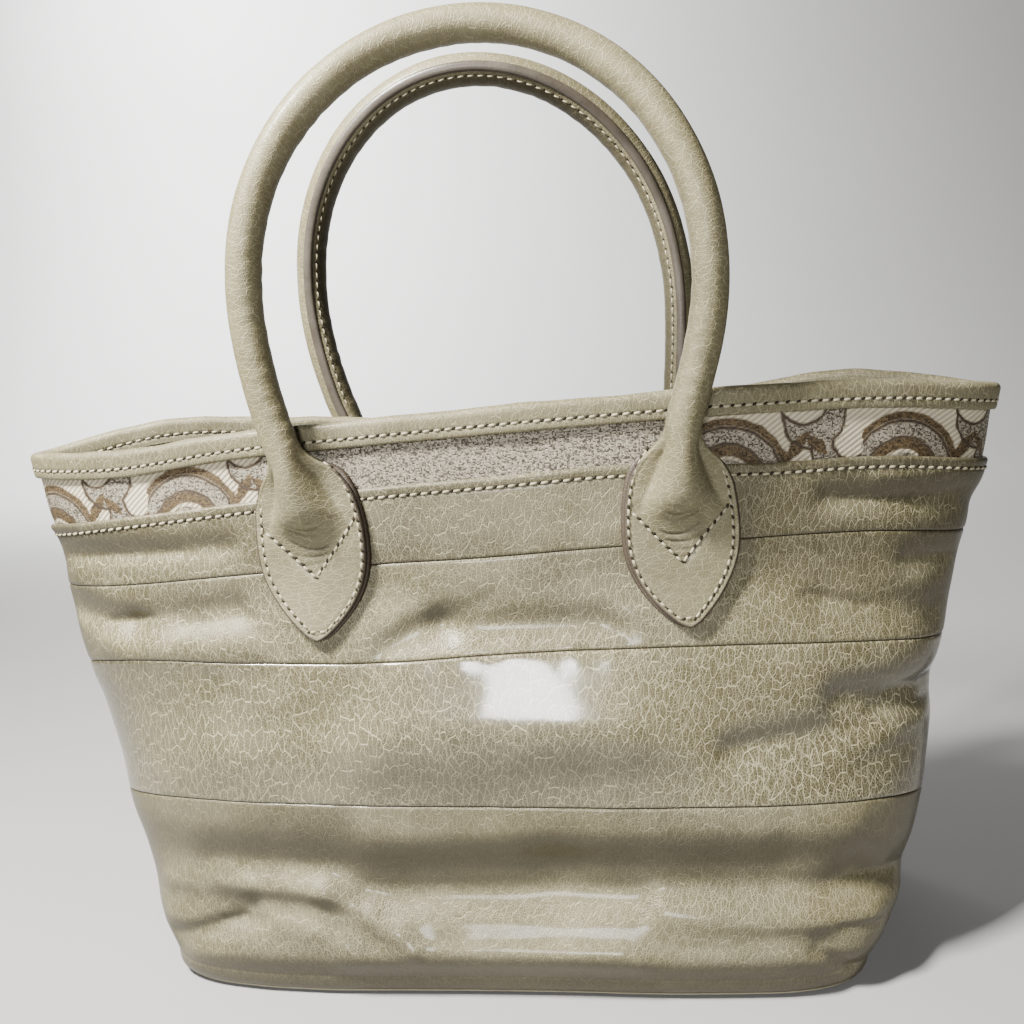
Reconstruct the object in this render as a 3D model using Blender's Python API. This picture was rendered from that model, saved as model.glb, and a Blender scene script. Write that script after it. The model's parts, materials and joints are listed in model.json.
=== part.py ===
"""Leather tote bag.

Four leather strips and a woven band are joined edge to edge round a flat sole. A folded
binding closes the rim, and two round handles flatten into leaf-shaped ends, each laid on
a leather tab of its own on the front or back face.

Metres, +Z up. X runs along the mouth and Y from the front face (-Y) to the back face
(+Y). The origin is on the ground under the middle of the sole.
"""
import math

import bmesh
import bpy
import numpy as np

# Driving dimensions of the body
RIM_WIDTH = 0.3605
RIM_DEPTH = 0.076
BASE_WIDTH = 0.258
BASE_DEPTH = 0.122
BODY_HEIGHT = 0.199
BASE_TWIST = 0.042
FOLD_DEPTH = 0.004

# Sole and the turn of the lowest strip under it
SOLE_THICKNESS = 0.003
SOLE_EDGE_ROUND = 0.0006
TURN_HEIGHT = 0.007
TURN_INSET = 0.011

# Walls
LEATHER = 0.0016
FABRIC = 0.0012
GAP = 0.0003
FABRIC_SETBACK = 0.0020
FABRIC_TUCK = 0.005
BINDING_HEIGHT = 0.0093
BINDING_WALL = 0.0015
BINDING_ROOM = 0.0004

# Handles. Their top and their widest place are measured up from the rim.
HANDLE_DIAMETER = 0.0119
HANDLE_SPAN = 0.1510
HANDLE_RISE = 0.1284
HANDLE_WIDEST_RISE = 0.042
HANDLE_HEIGHT = BODY_HEIGHT + HANDLE_RISE
HANDLE_WIDEST_HEIGHT = BODY_HEIGHT + HANDLE_WIDEST_RISE
HANDLE_STANDOFF = 0.043
HANDLE_TOP_STANDOFF = 0.029
SEAM_RIB_WIDTH = 0.0040
SEAM_RIB_RISE = 0.0008

# Leaf-shaped handle ends, hung from the rim, and the tabs under them
LEAF_WIDTH = 0.0382
LEAF_LENGTH = 0.0655
LEAF_TOP_DROP = 0.0092
LEAF_FOOT_HEIGHT = BODY_HEIGHT - LEAF_TOP_DROP - LEAF_LENGTH
LEAF_THICKNESS = 0.0015
TAB_THICKNESS = 0.0013
TAB_MARGIN = 0.0003
LEAF_CLEARANCE = 0.0005

# Mesh density: columns round the body and how far they lean towards its narrow ends,
# steps over a handle's arch and round its roll, and steps over the binding's fold
COLUMNS = 52
COLUMN_LEAN = 0.16
ARCH_STEPS = 15
ROLL_STEPS = 11
CHANNEL_STEPS = 4
# Distance of the two points that a surface normal is measured between
NORMAL_STEP = 1e-4
# Edges sharper than this, in degrees, are shaded as creases
CREASE_ANGLE = 40

# Sections of the body. height is a share of BODY_HEIGHT. left, right, front and back are
# shares of the way from the base's half size (0) to the rim's (1) along X, and from the
# rim's half depth (0) to the base's (1) along Y. square is the section's exponent.
SECTIONS = {
    "height": (0.040, 0.075, 0.111, 0.156, 0.218, 0.296, 0.397, 0.470, 0.548, 0.638,
               0.698, 0.744, 0.779, 0.814, 0.894, 1.000),
    "left":   (-0.04, 0.03, 0.11, 0.175, 0.25, 0.37, 0.465, 0.56, 0.66, 0.735,
               0.770, 0.775, 0.805, 0.870, 0.935, 0.995),
    "right":  (-0.06, 0.04, 0.135, 0.225, 0.305, 0.39, 0.46, 0.505, 0.60, 0.675,
               0.720, 0.765, 0.790, 0.860, 0.930, 1.005),
    "front":  (1.10, 1.18, 1.09, 0.92, 0.83, 0.87, 0.78, 0.67, 0.565, 0.37,
               0.22, 0.17, 0.15, 0.11, 0.04, 0.00),
    "back":   (1.06, 1.10, 1.06, 0.98, 0.93, 0.88, 0.78, 0.68, 0.565, 0.40,
               0.27, 0.20, 0.16, 0.11, 0.04, 0.00),
    "square": (6.5, 5.8, 5.0, 4.4, 3.9, 3.3, 2.9, 2.6, 2.45, 2.3,
               2.2, 2.15, 2.12, 2.1, 2.05, 2.0),
}

# Turn of the lowest strip under the sole: along runs from its inner edge (0) to the wall
# (1), height is a share of TURN_HEIGHT and inset a share of TURN_INSET.
TURN = {
    "along":  (0.0, 0.35, 0.6, 0.8, 1.0),
    "height": (0.06, 0.06, 0.18, 0.50, 1.0),
    "inset":  (1.0, 0.52, 0.20, 0.05, 0.0),
}

# Height of each level line, as shares of BODY_HEIGHT, at nine places along X from the
# left end to the right one. The rim and the band under it stand higher at the back.
STATIONS = (-1.0, -0.75, -0.5, -0.25, 0.0, 0.25, 0.5, 0.75, 1.0)
LEVELS = {
    "seam_low":          (0.302, 0.333, 0.343, 0.341, 0.338, 0.332, 0.326, 0.311, 0.276),
    "seam_middle":       (0.548, 0.579, 0.582, 0.581, 0.590, 0.591, 0.585, 0.569, 0.543),
    "seam_high":         (0.695, 0.713, 0.732, 0.744, 0.750, 0.757, 0.758, 0.752, 0.726),
    "strip_edge":        (0.809, 0.834, 0.856, 0.874, 0.884, 0.892, 0.882, 0.878, 0.852),
    "strip_edge_back":   (0.809, 0.854, 0.857, 0.854, 0.857, 0.862, 0.869, 0.879, 0.852),
    "binding":           (0.902, 0.906, 0.932, 0.945, 0.955, 0.962, 0.965, 0.960, 0.937),
    "binding_back":      (0.902, 0.944, 0.934, 0.920, 0.920, 0.929, 0.944, 0.968, 0.937),
}
BACK_LEVELS = {"strip_edge": "strip_edge_back", "binding": "binding_back"}

# Strips between two level lines, with the share of each row from the lower line to the
# upper one
STRIPS = {
    "strip_lower":  ("ground_turn", "seam_low", (0.0, 0.12, 0.25, 0.40, 0.56, 0.74, 1.0)),
    "strip_middle": ("seam_low", "seam_middle", (0.0, 0.25, 0.50, 0.75, 1.0)),
    "strip_upper":  ("seam_middle", "seam_high", (0.0, 0.20, 0.40, 0.60, 0.80, 1.0)),
    "strip_top":    ("seam_high", "strip_edge", (0.0, 0.33, 0.66, 1.0)),
}
# Rows of the lowest strip's turn, from its inner edge towards the wall
TURN_ROWS = (0.0, 0.35, 0.62, 0.82)

# Folds: a line on the face between two points (x as a share of half RIM_WIDTH, z as a
# share of BODY_HEIGHT), its half width as a share of BODY_HEIGHT, and its rise as a share
# of FOLD_DEPTH, negative for a valley.
FOLD_COLUMNS = ("face", "x0", "z0", "x1", "z1", "half_width", "rise")
FOLDS = (
    # strip_top
    ("front", -0.95, 0.760, -0.45, 0.784, 0.022, -0.40),
    ("front", 0.63, 0.815, 0.92, 0.790, 0.022, -0.45),
    # strip_upper
    ("front", -0.90, 0.665, -0.74, 0.642, 0.028, -0.60),
    ("front", -0.74, 0.642, -0.50, 0.668, 0.030, -0.55),
    ("front", -0.80, 0.600, -0.45, 0.615, 0.035, 0.35),
    ("front", -0.20, 0.632, -0.10, 0.680, 0.034, -0.55),
    ("front", -0.10, 0.680, 0.22, 0.675, 0.040, -0.60),
    ("front", -0.15, 0.612, 0.26, 0.606, 0.026, 0.35),
    ("front", 0.62, 0.640, 0.84, 0.605, 0.042, -0.50),
    ("front", 0.80, 0.695, 0.88, 0.690, 0.030, -0.35),
    # strip_middle
    ("front", 0.64, 0.485, 0.86, 0.462, 0.030, -0.70),
    ("front", 0.46, 0.405, 0.76, 0.400, 0.045, -0.40),
    ("front", -0.55, 0.450, 0.30, 0.460, 0.070, 0.30),
    # strip_lower
    ("front", -0.56, 0.215, 0.10, 0.232, 0.050, -0.40),
    ("front", 0.10, 0.232, 0.50, 0.222, 0.050, -0.45),
    ("front", 0.66, 0.190, 0.74, 0.175, 0.036, -0.80),
    ("front", -0.66, 0.075, -0.50, 0.136, 0.026, -0.60),
    ("front", -0.56, 0.196, -0.34, 0.186, 0.026, 0.45),
    ("front", -0.34, 0.186, -0.20, 0.125, 0.026, 0.35),
    ("front", -0.30, 0.088, 0.24, 0.086, 0.026, 0.35),
    ("front", 0.30, 0.160, 0.68, 0.132, 0.026, 0.45),
    ("front", 0.58, 0.095, 0.64, 0.040, 0.020, -0.35),
    # back face
    ("back", -0.70, 0.640, -0.30, 0.665, 0.035, -0.50),
    ("back", 0.25, 0.670, 0.75, 0.640, 0.035, -0.50),
    ("back", -0.60, 0.440, 0.40, 0.450, 0.070, 0.30),
    ("back", -0.50, 0.225, 0.50, 0.215, 0.050, -0.45),
    ("back", 0.55, 0.150, 0.66, 0.100, 0.026, -0.50),
)

# Folds fade in between these shares of half RIM_DEPTH from the bag's middle plane, and
# between these distances from a leaf's middle in half leaf sizes
FOLD_FACING = (0.15, 0.55)
FOLD_PAST_TAB = (1.2, 1.8)
# Share of BODY_HEIGHT over which the base's twist fades
TWIST_FADE = 0.75

# Handle legs: height of the roll's middle line as a share of HANDLE_WIDEST_HEIGHT, and
# how far each leg stands out from the middle as a share of half HANDLE_SPAN.
LEGS = {
    "height":      (0.500, 0.606, 0.697, 0.759, 0.797, 0.834, 0.909, 1.000),
    "front_left":  (0.790, 0.800, 0.826, 0.868, 0.900, 0.933, 0.982, 1.002),
    "front_right": (0.847, 0.829, 0.826, 0.832, 0.848, 0.884, 0.950, 0.985),
    "back_left":   (0.788, 0.801, 0.818, 0.834, 0.858, 0.898, 0.955, 0.996),
    "back_right":  (0.861, 0.881, 0.901, 0.915, 0.924, 0.933, 0.948, 0.951),
}
# Sideways lean of each handle's top, as a share of half HANDLE_SPAN
TOP_LEAN = {"front": 0.0, "back": -0.053}

# Leaf outline: along runs from the tip (0) to the roll (1). width is a share of half
# LEAF_WIDTH, roll and swell are the roll's share of its width and of its height over the
# leaf, and lift is how far the section has left the face for the round roll.
LEAF = {
    "along": (0.00, 0.02, 0.05, 0.10, 0.19, 0.29, 0.38, 0.45, 0.53, 0.63, 0.74, 0.84, 0.92, 1.00),
    "width": (0.08, 0.20, 0.32, 0.49, 0.73, 0.90, 0.98, 1.00, 1.00, 0.97, 0.90, 0.76, 0.56, 0.32),
    "roll":  (0.30, 0.30, 0.30, 0.30, 0.30, 0.35, 0.45, 0.62, 0.82, 0.95, 1.00, 1.00, 1.00, 1.00),
    "swell": (0.00, 0.00, 0.00, 0.00, 0.00, 0.00, 0.02, 0.20, 0.52, 0.82, 0.96, 1.00, 1.00, 1.00),
    "lift":  (0.00, 0.00, 0.00, 0.00, 0.00, 0.00, 0.00, 0.00, 0.00, 0.00, 0.03, 0.20, 0.60, 1.00),
}
# Points across a tab, as shares of its half width
TAB_ACROSS = (-1.0, -0.6, 0.0, 0.6, 1.0)
# Heights of the roll's sections between the leaf and the arch, as shares of that stretch
LEG_STEPS = (0.20, 0.40, 0.60, 0.80)

# Base colour, roughness
MATERIALS = {
    "strip_leather": ((0.34, 0.32, 0.22), 0.32),
    "handle_leather": ((0.42, 0.38, 0.25), 0.42),
    "woven_fabric": ((0.62, 0.58, 0.50), 0.75),
    "sole_leather": ((0.27, 0.25, 0.17), 0.55),
}


def smooth(x, xs, ys):
    """Cubic curve through a table's points, flat beyond its ends."""
    xs, ys = np.asarray(xs, float), np.asarray(ys, float)
    x = np.clip(x, xs[0], xs[-1])
    slope = np.gradient(ys, xs)
    i = np.clip(np.searchsorted(xs, x) - 1, 0, len(xs) - 2)
    h = xs[i + 1] - xs[i]
    s = (x - xs[i]) / h
    return ((1 + 2 * s) * (1 - s) ** 2 * ys[i] + s * (1 - s) ** 2 * h * slope[i]
            + s * s * (3 - 2 * s) * ys[i + 1] + s * s * (s - 1) * h * slope[i + 1])


def ease(x, start, end):
    """0 before start, 1 after end, smooth between."""
    s = np.clip((x - start) / (end - start), 0.0, 1.0)
    return s * s * (3 - 2 * s)


def section_column(name, z):
    return smooth(z / BODY_HEIGHT, SECTIONS["height"], SECTIONS[name])


def reach(z, towards_right):
    """Half width of the body at height z, on the left or the right."""
    share = np.where(towards_right, section_column("right", z), section_column("left", z))
    return BASE_WIDTH / 2 + share * (RIM_WIDTH - BASE_WIDTH) / 2


def depth(z, towards_back):
    """Half depth of the body at height z, on the front or the back."""
    share = np.where(towards_back, section_column("back", z), section_column("front", z))
    return RIM_DEPTH / 2 + share * (BASE_DEPTH - RIM_DEPTH) / 2


def leg_reach(leg, z):
    """How far out a handle leg's middle line stands at height z."""
    height = z / HANDLE_WIDEST_HEIGHT
    return smooth(height, LEGS["height"], LEGS[leg]) * HANDLE_SPAN / 2


def clear_of_tabs(x, y, z):
    """0 where a stitched tab holds the face flat, 1 away from the tabs."""
    middle = LEAF_FOOT_HEIGHT + LEAF_LENGTH / 2
    free = np.ones(np.broadcast(x, z).shape)
    for leg in ("front_left", "front_right", "back_left", "back_right"):
        way = -1.0 if leg.endswith("left") else 1.0
        side = -1.0 if leg.startswith("front") else 1.0
        across = (x - way * leg_reach(leg, z)) / (LEAF_WIDTH / 2)
        apart = np.hypot(across, (z - middle) / (LEAF_LENGTH / 2))
        free = free * np.where(side * y > 0, ease(apart, *FOLD_PAST_TAB), 1.0)
    return free


def fold_rise(x, y, z):
    """Sum of the folds at points of the outer face, positive outwards."""
    total = np.zeros(np.broadcast(x, z).shape)
    half, height = RIM_WIDTH / 2, BODY_HEIGHT
    for row in FOLDS:
        fold = dict(zip(FOLD_COLUMNS, row))
        side = -1.0 if fold["face"] == "front" else 1.0
        start = np.array((fold["x0"] * half, fold["z0"] * height))
        run = np.array((fold["x1"] * half, fold["z1"] * height)) - start
        along = np.clip(((x - start[0]) * run[0] + (z - start[1]) * run[1]) / (run @ run), 0, 1)
        apart = np.hypot(x - start[0] - along * run[0], z - start[1] - along * run[1])
        facing = ease(side * y / (RIM_DEPTH / 2), *FOLD_FACING)
        bell = np.exp(-(apart / (fold["half_width"] * height)) ** 2)
        total += fold["rise"] * FOLD_DEPTH * facing * bell
    return total * clear_of_tabs(x, y, z)


def turned(x, y, z):
    """Turn the section at each height by the base's twist, which fades towards the rim."""
    angle = -BASE_TWIST * (1 - ease(z, 0.0, TWIST_FADE * BODY_HEIGHT))
    return x * np.cos(angle) - y * np.sin(angle), x * np.sin(angle) + y * np.cos(angle)


def outer_face(x, y, z, inset, lift):
    """Point of the body's face, or lift above it, from its place in the plain section."""
    a, b = reach(z, x > 0) - inset, depth(z, y > 0) - inset
    n = section_column("square", z)
    nx = np.sign(x) * np.abs(x / a) ** (n - 1) / a
    ny = np.sign(y) * np.abs(y / b) ** (n - 1) / b
    length = np.hypot(nx, ny)
    rise = fold_rise(x, y, z) + lift
    x, y = turned(x + nx / length * rise, y + ny / length * rise, z)
    return np.stack(np.broadcast_arrays(x, y, z), axis=-1)


def level_height(name, angle):
    """Height of a level line where the body is seen at an angle from +X."""
    if name == "ground_turn":
        return np.full(np.shape(angle), TURN_HEIGHT)
    at_back = BACK_LEVELS.get(name, name)
    front = smooth(np.cos(angle), STATIONS, LEVELS[name])
    back = smooth(np.cos(angle), STATIONS, LEVELS[at_back])
    return np.where(np.sin(angle) > 0, back, front) * BODY_HEIGHT


def wall_point(angle, z, inset=0.0):
    """Point of the outer face at an angle round the body and a height."""
    c, s = np.cos(angle), np.sin(angle)
    n = section_column("square", z)
    scale = (np.abs(c) ** n + np.abs(s) ** n) ** (-1 / n)
    x = (reach(z, c > 0) - inset) * c * scale
    y = (depth(z, s > 0) - inset) * s * scale
    return outer_face(x, y, z, inset, 0.0)


def strip_point(angle, share, low, high):
    """Point of a strip: share 0 at its lower level line and 1 at its upper one."""
    bottom, top = level_height(low, angle), level_height(high, angle)
    return wall_point(angle, bottom + share * (top - bottom))


def turn_point(angle, along):
    """Point of the lowest strip's turn under the sole."""
    z = smooth(along, TURN["along"], TURN["height"]) * TURN_HEIGHT
    inset = smooth(along, TURN["along"], TURN["inset"]) * TURN_INSET
    return wall_point(angle, np.broadcast_to(z, np.shape(angle)), inset)


def outward(point, angle, row):
    """Unit normal of a surface point(angle, row), from two short steps on it."""
    across = point(angle + NORMAL_STEP, row) - point(angle - NORMAL_STEP, row)
    up = point(angle, row + NORMAL_STEP) - point(angle, row - NORMAL_STEP)
    normal = np.cross(across, up)
    return normal / np.linalg.norm(normal, axis=-1, keepdims=True)


def column_angles():
    """Angles of the columns, a little closer together at the two narrow ends."""
    even = np.arange(COLUMNS + 1) * 2 * math.pi / COLUMNS
    return even - COLUMN_LEAN * np.sin(2 * even)


def material(name):
    colour, roughness = MATERIALS[name]
    made = bpy.data.materials.get(name) or bpy.data.materials.new(name)
    made.use_nodes = True
    shader = made.node_tree.nodes["Principled BSDF"]
    shader.inputs["Base Color"].default_value = (*colour, 1.0)
    shader.inputs["Roughness"].default_value = roughness
    shader.inputs["Metallic"].default_value = 0.0
    return made


def add_object(name, bm, material_name):
    """Close a bmesh into an object with its faces pointing out."""
    bmesh.ops.recalc_face_normals(bm, faces=bm.faces)
    mesh = bpy.data.meshes.new(name)
    bm.to_mesh(mesh)
    bm.free()
    mesh.materials.append(material(material_name))
    mesh.shade_smooth()
    mesh.set_sharp_from_angle(angle=math.radians(CREASE_ANGLE))
    made = bpy.data.objects.new(name, mesh)
    bpy.context.collection.objects.link(made)
    return made


def wrapped_grid(points):
    """Grid of rows by columns laid on the points, with coinciding edges welded."""
    rows, columns = points.shape[:2]
    bm = bmesh.new()
    made = bmesh.ops.create_grid(bm, x_segments=columns - 1, y_segments=rows - 1, size=1.0)
    for vertex, place in zip(made["verts"], points.reshape(-1, 3)):
        vertex.co = place
    bmesh.ops.remove_doubles(bm, verts=bm.verts, dist=1e-7)
    return bm


def ring(name, loops, material_name):
    """Closed ring from loops that run round the wall's section."""
    loops = np.array(list(loops) + [loops[0]])
    add_object(name, wrapped_grid(loops), material_name)


def walled_loops(point, rows, outside, inside):
    """Loops up the outer face at one offset and down the inner face at another."""
    angle = column_angles()
    normals = [outward(point, angle, row) for row in rows]
    places = [point(angle, row) for row in rows]
    outer = [p + n * outside for p, n in zip(places, normals)]
    inner = [p + n * inside for p, n in zip(places, normals)]
    return outer + inner[::-1]


def level_gap(low, high):
    """Share of a strip's height that leaves half the gap to its neighbour."""
    middle = np.array(math.pi / 2)
    return GAP / 2 / float(level_height(high, middle) - level_height(low, middle))


def make_strip(name):
    """Leather strip between two level lines, with half a gap at each."""
    low, high, shares = STRIPS[name]
    inset = level_gap(low, high)
    rows = [inset + share * (1 - 2 * inset) for share in shares]
    ring(name, walled_loops(lambda a, s: strip_point(a, s, low, high), rows, 0.0, -LEATHER),
         "strip_leather")


def make_strip_lower():
    """Lowest strip, which turns under the sole."""
    low, high, shares = STRIPS["strip_lower"]
    inset = level_gap(low, high)
    start = 1 + NORMAL_STEP * 10

    def point(angle, row):
        if np.all(row < 1):
            return turn_point(angle, row)
        return strip_point(angle, row - 1, low, high)

    rows = list(TURN_ROWS) + [start + share * (2 - inset - start) for share in shares]
    ring("strip_lower", walled_loops(point, rows, 0.0, -LEATHER), "strip_leather")


def make_sole():
    """Flat sole inside the turned edge of the lowest strip."""
    angle = column_angles()[:-1]
    inset = TURN_INSET + GAP
    outline = wall_point(angle, np.full(angle.shape, TURN["height"][0] * TURN_HEIGHT), inset)
    bm = bmesh.new()
    face = bm.faces.new([bm.verts.new((x, y, 0.0)) for x, y, _ in outline])
    top = bmesh.ops.extrude_face_region(bm, geom=[face])["geom"]
    lifted = [item for item in top if isinstance(item, bmesh.types.BMVert)]
    bmesh.ops.translate(bm, verts=lifted, vec=(0.0, 0.0, SOLE_THICKNESS))
    made = add_object("base_panel", bm, "sole_leather")
    edge = made.modifiers.new("edge", "BEVEL")
    edge.width = SOLE_EDGE_ROUND
    edge.segments = 1
    edge.angle_limit = math.radians(CREASE_ANGLE)


def binding_room():
    """Offsets of the binding's faces from the outer face: leg, room, room, inner leg."""
    fabric_in = FABRIC_SETBACK + FABRIC
    return BINDING_WALL, fabric_in + BINDING_ROOM, fabric_in + BINDING_ROOM + BINDING_WALL


def make_fabric_band():
    """Woven band, tucked behind the top strip and up into the binding."""
    top_share = 1 - (2 * BINDING_WALL + BINDING_ROOM) / BINDING_HEIGHT

    def point(angle, share):
        bottom = level_height("strip_edge", angle) - FABRIC_TUCK
        top = level_height("binding", angle) + BINDING_HEIGHT * top_share
        return wall_point(angle, bottom + share * (top - bottom))

    rows = (0.0, 0.5, 1.0)
    ring("fabric_band", walled_loops(point, rows, -FABRIC_SETBACK, -FABRIC_SETBACK - FABRIC),
         "woven_fabric")


def make_rim_binding():
    """Folded binding: an upside-down channel over the woven band's top edge."""
    angle = column_angles()
    leg, room, inner = binding_room()
    radius = inner / 2
    slot = BINDING_HEIGHT - 2 * BINDING_WALL
    profile = [(0.0, 0.0), (0.0, 0.5 * (BINDING_HEIGHT - radius))]
    for step in range(CHANNEL_STEPS + 1):
        turn = math.pi * step / CHANNEL_STEPS
        profile.append((-radius + radius * math.cos(turn),
                        BINDING_HEIGHT - radius + radius * math.sin(turn)))
    profile += [(-inner, 0.0), (-room, 0.0), (-room, slot), (-leg, slot), (-leg, 0.0)]

    def point(a, rise):
        return wall_point(a, level_height("binding", a) + rise)

    loops = [point(angle, rise) + outward(point, angle, rise) * offset for offset, rise in profile]
    ring("rim_binding", loops, "strip_leather")


def stack():
    """Height of the handle leaf's underside over the body's face."""
    return GAP + TAB_THICKNESS + LEAF_CLEARANCE


def face_point(side, x, z, lift):
    """Point over the front (side -1) or back (side 1) face at x and z."""
    a, b = reach(z, x > 0), depth(z, side > 0)
    n = section_column("square", z)
    y = side * b * (1 - np.minimum(np.abs(x / a), 0.999) ** n) ** (1 / n)
    return outer_face(x, y, z, 0.0, lift)


def leg_middle(side, x, z):
    """Middle of the roll on a leg: on the face below the rim, then clear of it."""
    radius = HANDLE_DIAMETER / 2
    on_face = face_point(side, x, np.minimum(z, BODY_HEIGHT), stack() + radius)
    free = ease(z, BODY_HEIGHT, HANDLE_WIDEST_HEIGHT)
    y = on_face[..., 1] * (1 - free) + side * HANDLE_STANDOFF * free
    return np.stack(np.broadcast_arrays(on_face[..., 0], y, z), axis=-1)


def leg_heights():
    """Heights of a leg's sections and the leaf share of each, from the tip to the arch."""
    leaf = LEAF_FOOT_HEIGHT + np.array(LEAF["along"]) * LEAF_LENGTH
    free = leaf[-1] + np.array(LEG_STEPS) * (HANDLE_WIDEST_HEIGHT - leaf[-1])
    return np.concatenate((leaf, free)), len(leaf)


def handle_path(face):
    """Middle line of a handle from its left tip to its right tip."""
    side = -1.0 if face == "front" else 1.0
    heights, _ = leg_heights()
    left = leg_middle(side, -leg_reach(face + "_left", heights), heights)
    right = leg_middle(side, leg_reach(face + "_right", heights), heights)
    turn = np.linspace(math.pi, 0.0, ARCH_STEPS)
    rise = np.sin(turn)
    x0 = leg_reach(face + "_left", HANDLE_WIDEST_HEIGHT)
    x1 = leg_reach(face + "_right", HANDLE_WIDEST_HEIGHT)
    x = (x1 - x0) / 2 + (x1 + x0) / 2 * np.cos(turn) + TOP_LEAN[face] * HANDLE_SPAN / 2 * rise
    top = HANDLE_HEIGHT - HANDLE_DIAMETER / 2
    z = HANDLE_WIDEST_HEIGHT + (top - HANDLE_WIDEST_HEIGHT) * rise
    y = side * (HANDLE_STANDOFF + (HANDLE_TOP_STANDOFF - HANDLE_STANDOFF) * rise ** 2)
    return np.concatenate((left, np.stack((x, y, z), axis=-1), right[::-1])), side


def roll_angles():
    """Angles round the roll, with four at the seam rib on the side away from the face."""
    half = SEAM_RIB_WIDTH / HANDLE_DIAMETER
    plain = np.linspace(-math.pi / 2 + half, 1.5 * math.pi - half, ROLL_STEPS)
    rib = 1.5 * math.pi + np.array((-0.75, 0.75)) * half
    angles = np.concatenate((plain, rib))
    raised = np.concatenate((np.zeros(len(plain)), np.ones(2)))
    return angles, raised


def leaf_section(row, angles):
    """Across and up coordinates of the flat leaf's section, with the roll's swell on it."""
    c, s = np.cos(angles), np.sin(angles)
    radius = HANDLE_DIAMETER / 2
    across = LEAF["width"][row] * LEAF_WIDTH / 2 * c * (0.4 + 0.6 * c * c)
    roll = LEAF["roll"][row] * radius
    swell = LEAF["swell"][row] * (HANDLE_DIAMETER - LEAF_THICKNESS)
    dome = np.sqrt(np.clip(1 - (across / roll) ** 2, 0.0, 1.0))
    up = np.where(s > 0.01, LEAF_THICKNESS + swell * dome, 0.0)
    return across, up


def make_handle(face):
    """Round roll over the arch that flattens into a leaf at each end."""
    path, side = handle_path(face)
    tangent = np.gradient(path, axis=0)
    tangent /= np.linalg.norm(tangent, axis=1, keepdims=True)
    facing = np.array((0.0, side, 0.0))
    normal = facing - tangent * (tangent @ facing)[:, None]
    normal /= np.linalg.norm(normal, axis=1, keepdims=True)
    across_axis = np.cross(tangent, normal)
    angles, raised = roll_angles()
    leaf_rows = len(LEAF["along"])
    loops = []
    for i, centre in enumerate(path):
        row = min(i, len(path) - 1 - i)
        lift = LEAF["lift"][row] if row < leaf_rows else 1.0
        rib = ease(row, leaf_rows - 3, leaf_rows)
        radius = HANDLE_DIAMETER / 2 + SEAM_RIB_RISE * raised * rib
        spokes = (np.cos(angles)[:, None] * across_axis[i] + np.sin(angles)[:, None] * normal[i])
        points = centre + radius[:, None] * spokes
        if lift < 1.0:
            across, up = leaf_section(row, angles)
            x = centre[0] + across * across_axis[i, 0]
            z = centre[2] + across * across_axis[i, 2]
            flat = face_point(side, x, z, stack() + up)
            points = points * lift + flat * (1 - lift)
        loops.append(points)
    loops = np.array(loops)
    bm = wrapped_grid(np.concatenate((loops, loops[:, :1]), axis=1))
    bmesh.ops.holes_fill(bm, edges=bm.edges, sides=0)
    add_object("handle_" + face, bm, "handle_leather")


def make_tab(face, leg):
    """Leather tab between a handle's leaf and the body, a little larger than the leaf."""
    side = -1.0 if face == "front" else 1.0
    way = -1.0 if leg == "left" else 1.0
    rows = np.array(LEAF["along"][:-1])
    z = LEAF_FOOT_HEIGHT - TAB_MARGIN + rows * LEAF_LENGTH
    x = way * leg_reach(face + "_" + leg, z)
    lean = np.gradient(x, z)
    share = np.array(TAB_ACROSS)
    half = np.array(LEAF["width"][:-1]) * LEAF_WIDTH / 2 + TAB_MARGIN
    across = share[None, :] * half[:, None]
    tilt = np.hypot(1.0, lean)[:, None]
    xs, zs = x[:, None] + across / tilt, z[:, None] - across * lean[:, None] / tilt
    under = face_point(side, xs, zs, GAP)
    over = face_point(side, xs, zs, GAP + TAB_THICKNESS)
    loop = np.concatenate((over, under[:, ::-1], over[:, :1]), axis=1)
    bm = wrapped_grid(loop)
    bmesh.ops.holes_fill(bm, edges=bm.edges, sides=0)
    add_object("tab_" + face + "_" + leg, bm, "handle_leather")


def main():
    for item in list(bpy.data.objects):
        bpy.data.objects.remove(item, do_unlink=True)
    make_sole()
    make_strip_lower()
    for name in ("strip_middle", "strip_upper", "strip_top"):
        make_strip(name)
    make_fabric_band()
    make_rim_binding()
    for face in ("front", "back"):
        make_handle(face)
        for leg in ("left", "right"):
            make_tab(face, leg)


main()
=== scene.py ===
# %% [markdown]
# # A slouching leather tote
# The bag is an open tub of four glazed leather strips and one woven band, sewn edge to
# edge. Its rim is bound with a folded strip, and two rolled handles end in leaf-shaped
# pieces that are stitched to tabs. The CAD model fixes every size. This script makes the
# fine surface that leather has, so each soft piece is worked out again on a dense grid.

# %% Load the fixed frame
import math

import json

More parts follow.
